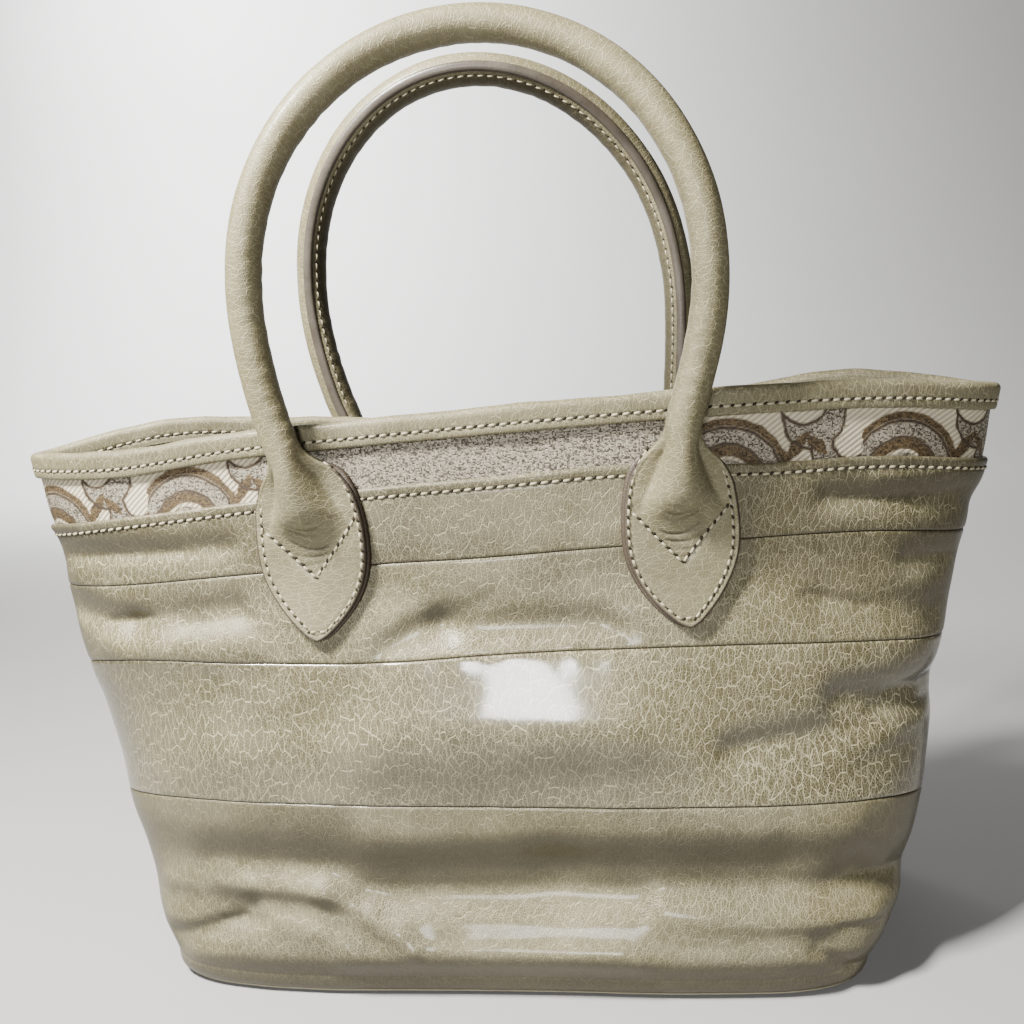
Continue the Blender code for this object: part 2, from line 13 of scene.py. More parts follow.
import bpy
import numpy as np
from mathutils import Matrix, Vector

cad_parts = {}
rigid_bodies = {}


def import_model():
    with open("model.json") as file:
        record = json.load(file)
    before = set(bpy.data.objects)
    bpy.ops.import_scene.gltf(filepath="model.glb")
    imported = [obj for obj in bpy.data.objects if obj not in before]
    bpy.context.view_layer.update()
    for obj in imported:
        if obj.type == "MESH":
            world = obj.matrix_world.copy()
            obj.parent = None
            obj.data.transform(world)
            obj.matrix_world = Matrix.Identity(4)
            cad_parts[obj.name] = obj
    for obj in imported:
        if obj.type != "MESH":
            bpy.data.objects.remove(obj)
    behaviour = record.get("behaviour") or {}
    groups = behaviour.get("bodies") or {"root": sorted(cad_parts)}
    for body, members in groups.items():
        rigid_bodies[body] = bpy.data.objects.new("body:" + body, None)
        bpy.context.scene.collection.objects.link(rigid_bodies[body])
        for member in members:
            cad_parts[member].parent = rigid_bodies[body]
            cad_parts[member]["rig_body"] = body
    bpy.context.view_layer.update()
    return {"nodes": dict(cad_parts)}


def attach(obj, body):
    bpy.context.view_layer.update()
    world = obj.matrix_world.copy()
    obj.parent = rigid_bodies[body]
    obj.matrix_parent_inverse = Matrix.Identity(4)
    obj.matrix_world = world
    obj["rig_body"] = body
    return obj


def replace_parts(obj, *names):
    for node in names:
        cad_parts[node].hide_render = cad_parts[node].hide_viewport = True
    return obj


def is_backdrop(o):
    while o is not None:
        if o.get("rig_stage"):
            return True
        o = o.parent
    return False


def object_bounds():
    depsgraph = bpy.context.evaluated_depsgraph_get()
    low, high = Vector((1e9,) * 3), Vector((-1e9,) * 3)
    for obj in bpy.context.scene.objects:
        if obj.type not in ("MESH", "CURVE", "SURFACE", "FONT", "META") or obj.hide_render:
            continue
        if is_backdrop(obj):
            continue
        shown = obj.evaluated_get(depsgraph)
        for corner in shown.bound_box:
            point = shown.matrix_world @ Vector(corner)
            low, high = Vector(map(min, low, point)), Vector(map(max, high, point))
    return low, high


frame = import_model()
print("CAD nodes:", ", ".join(sorted(frame["nodes"])))

# %% [markdown]
# ## Camera
# The photograph was taken by hand from a little above the rim, so the camera looks down
# and leans a few degrees. Its axes are built from yaw, pitch and roll rather than aimed
# with a constraint, because a constraint can't hold the roll.

# %% Camera
CAMERA_PLACE = (0.0332, -0.3775, 0.2226)
CAMERA_YAW, CAMERA_PITCH, CAMERA_ROLL = (math.radians(a) for a in (4.43, 9.83, 3.39))
FOCAL_PIXELS, IMAGE_PIXELS, SENSOR = 1026.57, 1024.0, 36.0


def camera_axes(yaw, pitch, roll):
    """Right, up and forward of a camera turned left by yaw, down by pitch, then rolled."""
    forward = np.array((-math.sin(yaw) * math.cos(pitch), math.cos(yaw) * math.cos(pitch),
                        -math.sin(pitch)))
    right = np.array((math.cos(yaw), math.sin(yaw), 0.0))
    up = np.cross(right, forward)
    return (right * math.cos(roll) - up * math.sin(roll),
            up * math.cos(roll) + right * math.sin(roll), forward)


right, up, forward = camera_axes(CAMERA_YAW, CAMERA_PITCH, CAMERA_ROLL)
camera = bpy.data.objects.new("camera", bpy.data.cameras.new("camera"))
camera.data.sensor_width = SENSOR
camera.data.lens = SENSOR * FOCAL_PIXELS / IMAGE_PIXELS
camera.data.clip_start, camera.data.clip_end = 0.01, 20.0
camera.matrix_world = Matrix([(right[i], up[i], -forward[i], CAMERA_PLACE[i])
                              for i in range(3)] + [(0, 0, 0, 1)])
bpy.context.collection.objects.link(camera)
bpy.context.scene.camera = camera
print("lens %.2f mm" % camera.data.lens)

# %% [markdown]
# ## The body's form
# The same short tables as in the CAD source give a closed section at every height: how
# far it reaches left and right, how deep it is at the front and back, and how square its
# corners are. A table is easier to read and change than a sculpted mesh.

# %% Sizes and tables of the body
RIM_WIDTH, RIM_DEPTH = 0.3605, 0.076
BASE_WIDTH, BASE_DEPTH = 0.258, 0.122
BODY_HEIGHT, BASE_TWIST = 0.199, 0.042
TWIST_FADE, FOLD_DEPTH = 0.75, 0.004
TURN_HEIGHT, TURN_INSET = 0.007, 0.011
LEATHER, FABRIC = 0.0016, 0.0012
FABRIC_SETBACK, FABRIC_TUCK = 0.0020, 0.005
BINDING_HEIGHT, BINDING_WALL, BINDING_ROOM = 0.0093, 0.0015, 0.0004
HANDLE_DIAMETER, HANDLE_SPAN = 0.0119, 0.1510
HANDLE_HEIGHT, HANDLE_WIDEST_HEIGHT = BODY_HEIGHT + 0.1284, BODY_HEIGHT + 0.042
HANDLE_STANDOFF, HANDLE_TOP_STANDOFF = 0.043, 0.029
LEAF_WIDTH, LEAF_LENGTH = 0.0382, 0.0655
LEAF_FOOT_HEIGHT = BODY_HEIGHT - 0.0092 - LEAF_LENGTH
LEAF_THICKNESS, TAB_THICKNESS, TAB_MARGIN = 0.0015, 0.0013, 0.0003
GAP, LEAF_CLEARANCE = 0.0003, 0.0005

SECTIONS = {
    "height": (0.040, 0.075, 0.111, 0.156, 0.218, 0.296, 0.397, 0.470, 0.548, 0.638,
               0.698, 0.744, 0.779, 0.814, 0.894, 1.000),
    "left":   (-0.04, 0.03, 0.11, 0.175, 0.25, 0.37, 0.465, 0.56, 0.66, 0.735,
               0.770, 0.775, 0.805, 0.870, 0.935, 0.995),
    "right":  (-0.06, 0.04, 0.135, 0.225, 0.305, 0.39, 0.46, 0.505, 0.60, 0.675,
               0.720, 0.765, 0.790, 0.860, 0.930, 1.005),
    "front":  (1.10, 1.18, 1.09, 0.92, 0.83, 0.87, 0.78, 0.67, 0.565, 0.37,
               0.22, 0.17, 0.15, 0.11, 0.04, 0.00),
    "back":   (1.06, 1.10, 1.06, 0.98, 0.93, 0.88, 0.78, 0.68, 0.565, 0.40,
               0.27, 0.20, 0.16, 0.11, 0.04, 0.00),
    "square": (6.5, 5.8, 5.0, 4.4, 3.9, 3.3, 2.9, 2.6, 2.45, 2.3,
               2.2, 2.15, 2.12, 2.1, 2.05, 2.0),
}
TURN = {
    "along":  (0.0, 0.35, 0.6, 0.8, 1.0),
    "height": (0.06, 0.06, 0.18, 0.50, 1.0),
    "inset":  (1.0, 0.52, 0.20, 0.05, 0.0),
}
STATIONS = (-1.0, -0.75, -0.5, -0.25, 0.0, 0.25, 0.5, 0.75, 1.0)
LEVELS = {
    "seam_low":        (0.302, 0.333, 0.343, 0.341, 0.338, 0.332, 0.326, 0.311, 0.276),
    "seam_middle":     (0.548, 0.579, 0.582, 0.581, 0.590, 0.591, 0.585, 0.569, 0.543),
    "seam_high":       (0.695, 0.713, 0.732, 0.744, 0.750, 0.757, 0.758, 0.752, 0.726),
    "strip_edge":      (0.809, 0.834, 0.856, 0.874, 0.884, 0.892, 0.882, 0.878, 0.852),
    "strip_edge_back": (0.809, 0.854, 0.857, 0.854, 0.857, 0.862, 0.869, 0.879, 0.852),
    "binding":         (0.902, 0.906, 0.932, 0.945, 0.955, 0.962, 0.965, 0.960, 0.937),
    "binding_back":    (0.902, 0.944, 0.934, 0.920, 0.920, 0.929, 0.944, 0.968, 0.937),
}
BACK_LEVELS = {"strip_edge": "strip_edge_back", "binding": "binding_back"}

# %% [markdown]
# ## Folds
# A slumped bag shows long soft folds and a few sharp dents near its corners. Each row is
# one fold: a line on the face, how wide it is and how far it rises or sinks. The first
# rows are the CAD model's own. The later ones are the small creases that only show in
# raking light, so they are left to this fine surface.

# %% Folds
FOLD_COLUMNS = ("face", "x0", "z0", "x1", "z1", "half_width", "rise")
FOLDS = (
    ("front", -0.95, 0.760, -0.45, 0.784, 0.022, -0.40),
    ("front", 0.63, 0.815, 0.92, 0.790, 0.022, -0.45),
    ("front", -0.90, 0.665, -0.74, 0.642, 0.028, -0.60),
    ("front", -0.74, 0.642, -0.50, 0.668, 0.030, -0.55),
    ("front", -0.80, 0.600, -0.45, 0.615, 0.035, 0.35),
    ("front", -0.22, 0.604, -0.10, 0.635, 0.028, -0.50),
    ("front", -0.10, 0.635, 0.24, 0.630, 0.032, -0.62),
    ("front", -0.15, 0.575, 0.30, 0.570, 0.030, 0.06),
    ("front", 0.62, 0.640, 0.84, 0.605, 0.042, -0.50),
    ("front", 0.80, 0.695, 0.88, 0.690, 0.030, -0.35),
    ("front", 0.64, 0.485, 0.86, 0.462, 0.030, -0.70),
    ("front", 0.46, 0.405, 0.76, 0.400, 0.045, -0.40),
    ("front", -0.55, 0.450, 0.30, 0.460, 0.070, 0.30),
    ("front", -0.56, 0.215, 0.10, 0.232, 0.050, -0.40),
    ("front", 0.10, 0.232, 0.50, 0.222, 0.050, -0.45),
    ("front", 0.66, 0.190, 0.74, 0.175, 0.036, -0.80),
    ("front", -0.66, 0.075, -0.50, 0.136, 0.026, -0.60),
    ("front", -0.56, 0.196, -0.34, 0.186, 0.026, 0.45),
    ("front", -0.34, 0.186, -0.20, 0.125, 0.026, 0.35),
    ("front", -0.30, 0.088, 0.24, 0.086, 0.026, 0.35),
    ("front", 0.30, 0.160, 0.68, 0.132, 0.026, 0.45),
    ("front", 0.58, 0.095, 0.64, 0.040, 0.020, -0.35),
    ("back", -0.70, 0.640, -0.30, 0.665, 0.035, -0.50),
    ("back", 0.25, 0.670, 0.75, 0.640, 0.035, -0.50),
    ("back", -0.60, 0.440, 0.40, 0.450, 0.070, 0.30),
    ("back", -0.50, 0.225, 0.50, 0.215, 0.050, -0.45),
    ("back", 0.55, 0.150, 0.66, 0.100, 0.026, -0.50),
)
CREASES = (
    ("front", -0.12, 0.715, 0.30, 0.712, 0.035, 0.10),
    ("front", -0.20, 0.458, 0.22, 0.464, 0.074, 0.70),
    ("front", -0.26, 0.178, 0.60, 0.174, 0.028, -0.45),
    ("front", -0.24, 0.275, 0.64, 0.270, 0.045, 0.42),
    ("front", -0.68, 0.176, -0.50, 0.190, 0.022, 0.22),
    ("front", -0.50, 0.190, -0.36, 0.188, 0.020, 0.26),
    ("front", -0.36, 0.188, -0.26, 0.150, 0.020, 0.26),
    ("front", -0.26, 0.150, -0.17, 0.100, 0.018, 0.22),
    ("front", -0.17, 0.098, 0.22, 0.094, 0.014, 0.16),
    ("front", -0.24, 0.132, 0.58, 0.134, 0.018, 0.14),
    ("front", 0.30, 0.160, 0.76, 0.128, 0.020, 0.22),
    ("front", -0.47, 0.142, -0.31, 0.104, 0.016, 0.16),
    ("front", 0.43, 0.416, 0.71, 0.445, 0.026, -0.32),
    ("front", 0.60, 0.385, 0.80, 0.420, 0.022, 0.20),
    ("front", -0.94, 0.652, -0.80, 0.640, 0.011, -0.16),
    ("front", -0.80, 0.640, -0.70, 0.652, 0.009, -0.22),
    ("front", -0.62, 0.640, -0.46, 0.662, 0.010, -0.16),
    ("front", -0.93, 0.752, -0.62, 0.772, 0.008, -0.14),
    ("front", 0.66, 0.815, 0.80, 0.800, 0.008, -0.22),
    ("front", 0.80, 0.800, 0.94, 0.808, 0.008, -0.20),
    ("front", 0.72, 0.842, 0.92, 0.838, 0.010, 0.12),
    ("front", 0.74, 0.480, 0.86, 0.474, 0.010, -0.18),
    ("front", 0.70, 0.456, 0.84, 0.440, 0.008, -0.16),
    ("front", 0.68, 0.182, 0.76, 0.172, 0.012, -0.22),
    ("front", 0.62, 0.120, 0.70, 0.112, 0.007, -0.18),
    ("front", 0.57, 0.086, 0.63, 0.060, 0.007, -0.20),
    ("front", 0.60, 0.062, 0.65, 0.040, 0.006, -0.18),
    ("front", -0.68, 0.084, -0.52, 0.126, 0.013, -0.26),
    ("front", -0.56, 0.120, -0.46, 0.132, 0.008, -0.18),
    ("front", -0.16, 0.640, -0.02, 0.676, 0.018, -0.12),
    ("front", 0.58, 0.655, 0.70, 0.625, 0.010, -0.15),
    ("front", 0.78, 0.700, 0.90, 0.688, 0.009, -0.20),
    ("back", 0.55, 0.655, 0.80, 0.640, 0.010, -0.20),
    ("back", -0.80, 0.650, -0.60, 0.640, 0.010, -0.20),
    ("back", -0.70, 0.172, -0.58, 0.180, 0.010, -0.25),
)
FOLD_FACING = (0.15, 0.55)
FOLD_PAST_TAB = (1.2, 1.8)
print(len(FOLDS), "folds and", len(CREASES), "creases")

# %% [markdown]
# ## Handles and leaves
# The tables give where each leg stands, and the outline of the leaf it flattens into.

# %% Tables of the handles
LEGS = {
    "height":      (0.500, 0.606, 0.697, 0.759, 0.797, 0.834, 0.909, 1.000),
    "front_left":  (0.790, 0.800, 0.826, 0.868, 0.900, 0.933, 0.982, 1.002),
    "front_right": (0.847, 0.829, 0.826, 0.832, 0.848, 0.884, 0.950, 0.985),
    "back_left":   (0.788, 0.801, 0.818, 0.834, 0.858, 0.898, 0.955, 0.996),
    "back_right":  (0.861, 0.881, 0.901, 0.915, 0.924, 0.933, 0.948, 0.951),
}
TOP_LEAN = {"front": 0.0, "back": -0.053}
LEAF = {
    "along": (0.00, 0.02, 0.05, 0.10, 0.19, 0.29, 0.38, 0.45, 0.53, 0.63, 0.74, 0.84, 0.92, 1.00),
    "width": (0.08, 0.20, 0.32, 0.49, 0.73, 0.90, 0.98, 1.00, 1.00, 0.97, 0.90, 0.76, 0.56, 0.32),
    "lift":  (0.00, 0.00, 0.00, 0.00, 0.00, 0.00, 0.00, 0.00, 0.00, 0.00, 0.03, 0.20, 0.60, 1.00),
}
# The roll's swell over the leaf: half width in rolls' radii, height as a share of the
# roll's, and how round (0.5) or bell-shaped (2) its section is
TONGUE = {
    "along":  (0.30, 0.42, 0.48, 0.54, 0.60, 0.66, 0.725, 0.79, 0.87, 1.00),
    "spread": (0.50, 1.70, 2.20, 2.40, 2.25, 1.92, 1.60, 1.36, 1.16, 1.00),
    "height": (0.00, 0.00, 0.04, 0.22, 0.54, 0.76, 0.88, 0.95, 0.99, 1.00),
    "bell":   (2.00, 2.00, 1.80, 1.50, 1.25, 1.00, 0.85, 0.72, 0.60, 0.50),
}

# %% [markdown]
# ## Helpers for curves and noise
# Leather never lies quite flat, so a soft random relief is added to every wall. A sum of
# plane waves in random directions gives hills of a chosen size with no grid in them. The
# directions come from a seeded generator, so each run makes the same bag.

# %% Helpers


def smooth(x, xs, ys):
    """Cubic curve through a table's points, flat beyond its ends."""
    xs, ys = np.asarray(xs, float), np.asarray(ys, float)
    x = np.clip(x, xs[0], xs[-1])
    slope = np.gradient(ys, xs)
    i = np.clip(np.searchsorted(xs, x) - 1, 0, len(xs) - 2)
    h = xs[i + 1] - xs[i]
    s = (x - xs[i]) / h
    return ((1 + 2 * s) * (1 - s) ** 2 * ys[i] + s * (1 - s) ** 2 * h * slope[i]
            + s * s * (3 - 2 * s) * ys[i + 1] + s * s * (s - 1) * h * slope[i + 1])


def ease(x, start, end):
    """0 before start, 1 after end, smooth between."""
    s = np.clip((x - start) / (end - start), 0.0, 1.0)
    return s * s * (3 - 2 * s)


def bump(x, centre, half_width):
    """A bell: e to the power of minus the squared distance in half widths."""
    return np.exp(-((x - centre) / half_width) ** 2)


def hills(points, cell, seed, waves=28):
    """Sum of plane waves in random directions, each about two cells long, mostly in -1..1."""
    chance = np.random.default_rng(seed)
    ways = chance.normal(size=(waves, 3))
    ways *= math.pi * chance.uniform(0.55, 1.25, (waves, 1)) / np.linalg.norm(ways, axis=1, keepdims=True)
    phase = np.asarray(points) / np.asarray(cell) @ ways.T + chance.uniform(0, 2 * math.pi, waves)
    return np.cos(phase).sum(axis=-1) * 0.75 / math.sqrt(waves / 2)


def unit(vectors):
    """Each vector over its own length."""
    return vectors / np.maximum(np.linalg.norm(vectors, axis=-1, keepdims=True), 1e-12)

# %% [markdown]
# ## The wall as a function
# `wall(angle, z, inset, lift)` gives a point of the bag's face from an angle round it and
# a height. Everything that is sewn to the wall asks the same function for its place, so
# nothing floats or sinks.

# %% The wall


def section_column(name, z):
    """One column of the section table, read at height z."""
    return smooth(z / BODY_HEIGHT, SECTIONS["height"], SECTIONS[name])


def reach(z, towards_right):
    """Half width of the body at height z, on the left or the right."""
    share = np.where(towards_right, section_column("right", z), section_column("left", z))
    return BASE_WIDTH / 2 + share * (RIM_WIDTH - BASE_WIDTH) / 2


def depth(z, towards_back):
    """Half depth of the body at height z, on the front or the back."""
    share = np.where(towards_back, section_column("back", z), section_column("front", z))
    return RIM_DEPTH / 2 + share * (BASE_DEPTH - RIM_DEPTH) / 2


def leg_reach(leg, z):
    """How far out a handle leg's middle line stands at height z."""
    return smooth(z / HANDLE_WIDEST_HEIGHT, LEGS["height"], LEGS[leg]) * HANDLE_SPAN / 2


def clear_of_tabs(x, y, z):
    """0 where a stitched tab holds the face flat, 1 away from the tabs."""
    middle = LEAF_FOOT_HEIGHT + LEAF_LENGTH / 2
    free = np.ones(np.broadcast(x, z).shape)
    for leg in ("front_left", "front_right", "back_left", "back_right"):
        way = -1.0 if leg.endswith("left") else 1.0
        side = -1.0 if leg.startswith("front") else 1.0
        across = (x - way * leg_reach(leg, z)) / (LEAF_WIDTH / 2)
        apart = np.hypot(across, (z - middle) / (LEAF_LENGTH / 2))
        free = free * np.where(side * y > 0, ease(apart, *FOLD_PAST_TAB), 1.0)
    return free

# %% Folds and slack


def fold_rise(x, y, z):
    """Sum of the folds: rise times a bell of the distance to each fold's line."""
    total = np.zeros(np.broadcast(x, z).shape)
    for row in FOLDS + CREASES:
        fold = dict(zip(FOLD_COLUMNS, row))
        side = -1.0 if fold["face"] == "front" else 1.0
        start = np.array((fold["x0"] * RIM_WIDTH / 2, fold["z0"] * BODY_HEIGHT))
        run = np.array((fold["x1"] * RIM_WIDTH / 2, fold["z1"] * BODY_HEIGHT)) - start
        along = np.clip(((x - start[0]) * run[0] + (z - start[1]) * run[1]) / (run @ run), 0, 1)
        apart = np.hypot(x - start[0] - along * run[0], z - start[1] - along * run[1])
        facing = ease(side * y / (RIM_DEPTH / 2), *FOLD_FACING)
        total += fold["rise"] * FOLD_DEPTH * facing * bump(apart, 0, fold["half_width"] * BODY_HEIGHT)
    return total * clear_of_tabs(x, y, z)


def slack(x, y, z):
    """Soft relief of slack leather: hills 45 mm, 16 mm and 7 mm across, calmer at the rim."""
    points = np.stack(np.broadcast_arrays(x, y, z), axis=-1)
    relief = 0.00038 * hills(points, (0.050, 0.050, 0.030), 1)
    relief += 0.00017 * hills(points, (0.020, 0.020, 0.012), 2)
    relief += 0.00006 * hills(points, (0.008, 0.008, 0.006), 3)
    calm = 1 - 0.75 * ease(z / BODY_HEIGHT, 0.80, 0.93)
    return relief * calm * clear_of_tabs(x, y, z)

# %% Points of the wall


def outer_face(x, y, z, inset, lift):
    """Point on the face or lift above it along the plan normal, then the base's twist."""
    a, b = reach(z, x > 0) - inset, depth(z, y > 0) - inset
    n = section_column("square", z)
    nx = np.sign(x) * np.abs(x / a) ** (n - 1) / a
    ny = np.sign(y) * np.abs(y / b) ** (n - 1) / b
    length = np.hypot(nx, ny)
    rise = fold_rise(x, y, z) + slack(x, y, z) + lift
    x, y = x + nx / length * rise, y + ny / length * rise
    turn = -BASE_TWIST * (1 - ease(z, 0.0, TWIST_FADE * BODY_HEIGHT))
    x, y = x * np.cos(turn) - y * np.sin(turn), x * np.sin(turn) + y * np.cos(turn)
    return np.stack(np.broadcast_arrays(x, y, z), axis=-1)


def wall(angle, z, inset=0.0, lift=0.0):
    """Superellipse: reach times cos, depth times sin, over (|cos|ⁿ + |sin|ⁿ) to 1/n."""
    c, s = np.cos(angle), np.sin(angle)
    n = section_column("square", z)
    scale = (np.abs(c) ** n + np.abs(s) ** n) ** (-1 / n)
    x = (reach(z, c > 0) - inset) * c * scale
    y = (depth(z, s > 0) - inset) * s * scale
    return outer_face(x, y, z, inset, lift)


def face_point(side, x, z, lift):
    """Point over the front (side -1) or back (side 1) face at x and z."""
    a, b = reach(z, x > 0), depth(z, side > 0)
    n = section_column("square", z)
    y = side * b * (1 - np.minimum(np.abs(x / a), 0.999) ** n) ** (1 / n)
    return outer_face(x, y, z, 0.0, lift)


def level_height(name, angle):
    """Height of a seam line where the body is seen at an angle from +X."""
    if name == "ground_turn":
        return np.full(np.shape(angle), TURN_HEIGHT)
    front = smooth(np.cos(angle), STATIONS, LEVELS[name])
    back = smooth(np.cos(angle), STATIONS, LEVELS[BACK_LEVELS.get(name, name)])
    return np.where(np.sin(angle) > 0, back, front) * BODY_HEIGHT


def even_angles(count, z):
    """Angles whose points at height z lie the same distance apart along the wall."""
    fine = np.linspace(0, 2 * math.pi, 4001)
    points = wall(fine, np.full(fine.shape, z))
    run = np.concatenate(([0], np.cumsum(np.linalg.norm(np.diff(points, axis=0), axis=1))))
    return np.interp(np.linspace(0, run[-1], count + 1)[:-1], run, fine), run[-1]


COLUMNS = 720
angles, girth = even_angles(COLUMNS, 0.6 * BODY_HEIGHT)
print("girth %.0f mm, a column every %.2f mm" % (girth * 1e3, girth / COLUMNS * 1e3))

# %% [markdown]
# ## From a grid to a mesh
# Each piece is a grid of points that closes on itself. One helper joins the grid's rows
# and columns into quads, and can store a UV map and named attributes for the materials.

# %% Grid to mesh


def grid_faces(rows, columns, wrap_rows, wrap_columns):
    """Quads between neighbours of a grid, with the last row or column meeting the first."""
    r = np.arange(rows if wrap_rows else rows - 1)[:, None]
    c = np.arange(columns if wrap_columns else columns - 1)[None, :]
    r1, c1 = (r + 1) % rows, (c + 1) % columns
    corners = [r * columns + c, r * columns + c1, r1 * columns + c1, r1 * columns + c]
    return np.stack(np.broadcast_arrays(*corners), axis=-1).reshape(-1, 4)


def unwrap(corners):
    """Where a quad joins a UV map's end to its start, carry the start on past the end."""
    for axis in (0, 1):
        value = corners[..., axis]
        step = np.ptp(value, axis=1)
        across = step > 0.5 * np.ptp(value)
        if across.any() and not across.all():
            period = np.ptp(value) + step[~across].mean()
            value[across] += np.where(value[across] < value.mean(), period, 0.0)


def add_piece(name, points, faces, materials, uv=None, slots=None, caps=(), **values):
    """Mesh from points and quads; uv and values hold one entry for each point."""
    mesh = bpy.data.meshes.new(name)
    points = np.asarray(points, np.float32).reshape(-1, 3)
    faces = np.asarray(faces, np.int32)
    loops = np.concatenate([faces.ravel()] + [np.asarray(c, np.int32) for c in caps])
    sizes = np.concatenate((np.full(len(faces), faces.shape[1]), [len(c) for c in caps]))
    mesh.vertices.add(len(points))
    mesh.vertices.foreach_set("co", points.ravel())
    mesh.loops.add(len(loops))
    mesh.loops.foreach_set("vertex_index", loops)
    mesh.polygons.add(len(sizes))
    starts = np.concatenate(([0], np.cumsum(sizes)[:-1])).astype(np.int32)
    mesh.polygons.foreach_set("loop_start", starts)
    mesh.polygons.foreach_set("use_smooth", np.ones(len(sizes), bool))
    if slots is not None:
        mesh.polygons.foreach_set("material_index", np.asarray(slots, np.int32))
    mesh.update(calc_edges=True)
    if uv is not None:
        layer = mesh.uv_layers.new(name="UVMap")
        corners = np.asarray(uv, np.float32).reshape(-1, 2)[loops]
        unwrap(corners[:faces.size].reshape(-1, 4, 2))
        layer.data.foreach_set("uv", corners.ravel())
    for key, value in values.items():
        layer = mesh.attributes.new(key, "FLOAT", "POINT")
        layer.data.foreach_set("value", np.asarray(value, np.float32).ravel())
    for made in materials:
        mesh.materials.append(made)
    piece = bpy.data.objects.new(name, mesh)
    bpy.context.collection.objects.link(piece)
    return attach(piece, "root")


def grid_normals(points):
    """Cross product of the steps along columns and rows, as central differences."""
    across = np.roll(points, -1, axis=1) - np.roll(points, 1, axis=1)
    return unit(np.cross(across, np.gradient(points, axis=0)))


def surface_uv(points):
    """UV in metres: mean run along the rows, and length up every column."""
    steps = np.linalg.norm(np.diff(points, axis=1), axis=2).mean(axis=0)
    run = np.concatenate(([0], np.cumsum(steps)))
    rise = np.linalg.norm(np.diff(points, axis=0), axis=2)
    height = np.concatenate((np.zeros((1, points.shape[1])), np.cumsum(rise, axis=0)))
    return np.stack(np.broadcast_arrays(run[None, :], height), axis=-1)

# %% [markdown]
# ## Shader tools
# Node trees are built from a few short helpers. Effects that several leathers share sit
# in node groups, so that each leather only gives its own values.

# %% Shader tools


def add_node(tree, kind, **settings):
    """One new node with its settings."""
    node = tree.nodes.new(kind)
    for key, value in settings.items():
        setattr(node, key, value)
    return node


def plug(tree, socket, value):
    """Link an output, or set a plain value."""
    if isinstance(value, bpy.types.NodeSocket):
        tree.links.new(value, socket)
    else:
        socket.default_value = value


def calc(tree, operation, a, b=0.0):
    """One Math node."""
    node = add_node(tree, "ShaderNodeMath", operation=operation)
    for socket, value in zip(node.inputs, (a, b)):
        plug(tree, socket, value)
    return node.outputs[0]


def times(tree, a, b):
    """a × b."""
    return calc(tree, "MULTIPLY", a, b)


def plus(tree, a, b):
    """a + b."""
    return calc(tree, "ADD", a, b)


def minus(tree, a, b):
    """a − b."""
    return calc(tree, "SUBTRACT", a, b)


def most(tree, a, b):
    """The larger of a and b."""
    return calc(tree, "MAXIMUM", a, b)


def vector_calc(tree, operation, a, b=(0.0, 0.0, 0.0), scale=1.0):
    """One Vector Math node."""
    node = add_node(tree, "ShaderNodeVectorMath", operation=operation)
    plug(tree, node.inputs[0], a)
    if operation == "SCALE":
        plug(tree, node.inputs["Scale"], scale)
    else:
        plug(tree, node.inputs[1], b)
    return node.outputs[0]


def ramp(tree, value, low, high, start=0.0, end=1.0):
    """Map low..high to start..end with smooth ends."""
    node = add_node(tree, "ShaderNodeMapRange", interpolation_type="SMOOTHSTEP")
    for socket, item in zip(node.inputs, (value, low, high, start, end)):
        plug(tree, socket, item)
    return node.outputs[0]


def blend(tree, share, a, b):
    """Mix two colours."""
    node = add_node(tree, "ShaderNodeMix", data_type="RGBA")
    plug(tree, node.inputs["Factor"], share)
    plug(tree, node.inputs["A"], a)
    plug(tree, node.inputs["B"], b)
    return node.outputs["Result"]


def noise(tree, vector, scale, detail=2.0, roughness=0.5, dimensions="2D"):
    """Fractal noise with so many features in a metre."""
    node = add_node(tree, "ShaderNodeTexNoise", noise_dimensions=dimensions)
    for key, value in (("Vector", vector), ("Scale", scale), ("Detail", detail),
                       ("Roughness", roughness)):
        plug(tree, node.inputs[key], value)
    return node


def cells(tree, vector, scale):
    """Voronoi cells in the plane of the UV map, read as the distance to their edges."""
    node = add_node(tree, "ShaderNodeTexVoronoi", feature="DISTANCE_TO_EDGE", voronoi_dimensions="2D")
    plug(tree, node.inputs["Vector"], vector)
    plug(tree, node.inputs["Scale"], scale)
    return node


def new_group(name, inputs, outputs):
    """Node group with named sockets: (name, kind, default) each."""
    group = bpy.data.node_groups.new(name, "ShaderNodeTree")
    for key, kind, default in inputs:
        socket = group.interface.new_socket(key, in_out="INPUT", socket_type="NodeSocket" + kind)
        socket.default_value = default
    for key, kind in outputs:
        group.interface.new_socket(key, in_out="OUTPUT", socket_type="NodeSocket" + kind)
    return group, add_node(group, "NodeGroupInput"), add_node(group, "NodeGroupOutput")


def use_group(tree, group, **values):
    """A group node with some of its inputs set or linked."""
    node = add_node(tree, "ShaderNodeGroup", node_tree=group)
    for key, value in values.items():
        plug(tree, node.inputs[key.replace("_", " ")], value)
    return node


def new_material(name, **shader_values):
    """A material, its tree and its shader, with values set on the shader's own sockets."""
    made = bpy.data.materials.new(name)
    made.use_nodes = True
    shader = made.node_tree.nodes["Principled BSDF"]
    for key, value in shader_values.items():
        shader.inputs[key.replace("_", " ")].default_value = value
    return made, made.node_tree, shader


def attribute(tree, name):
    """A value stored with the mesh's points."""
    return add_node(tree, "ShaderNodeAttribute", attribute_name=name).outputs["Fac"]


def object_noise(tree, scale, detail=2.0, roughness=0.5):
    """Noise in the object's own coordinates, for pieces without a UV map."""
    place = add_node(tree, "ShaderNodeTexCoord").outputs["Object"]
    return noise(tree, place, scale, detail, roughness, "3D").outputs["Fac"]


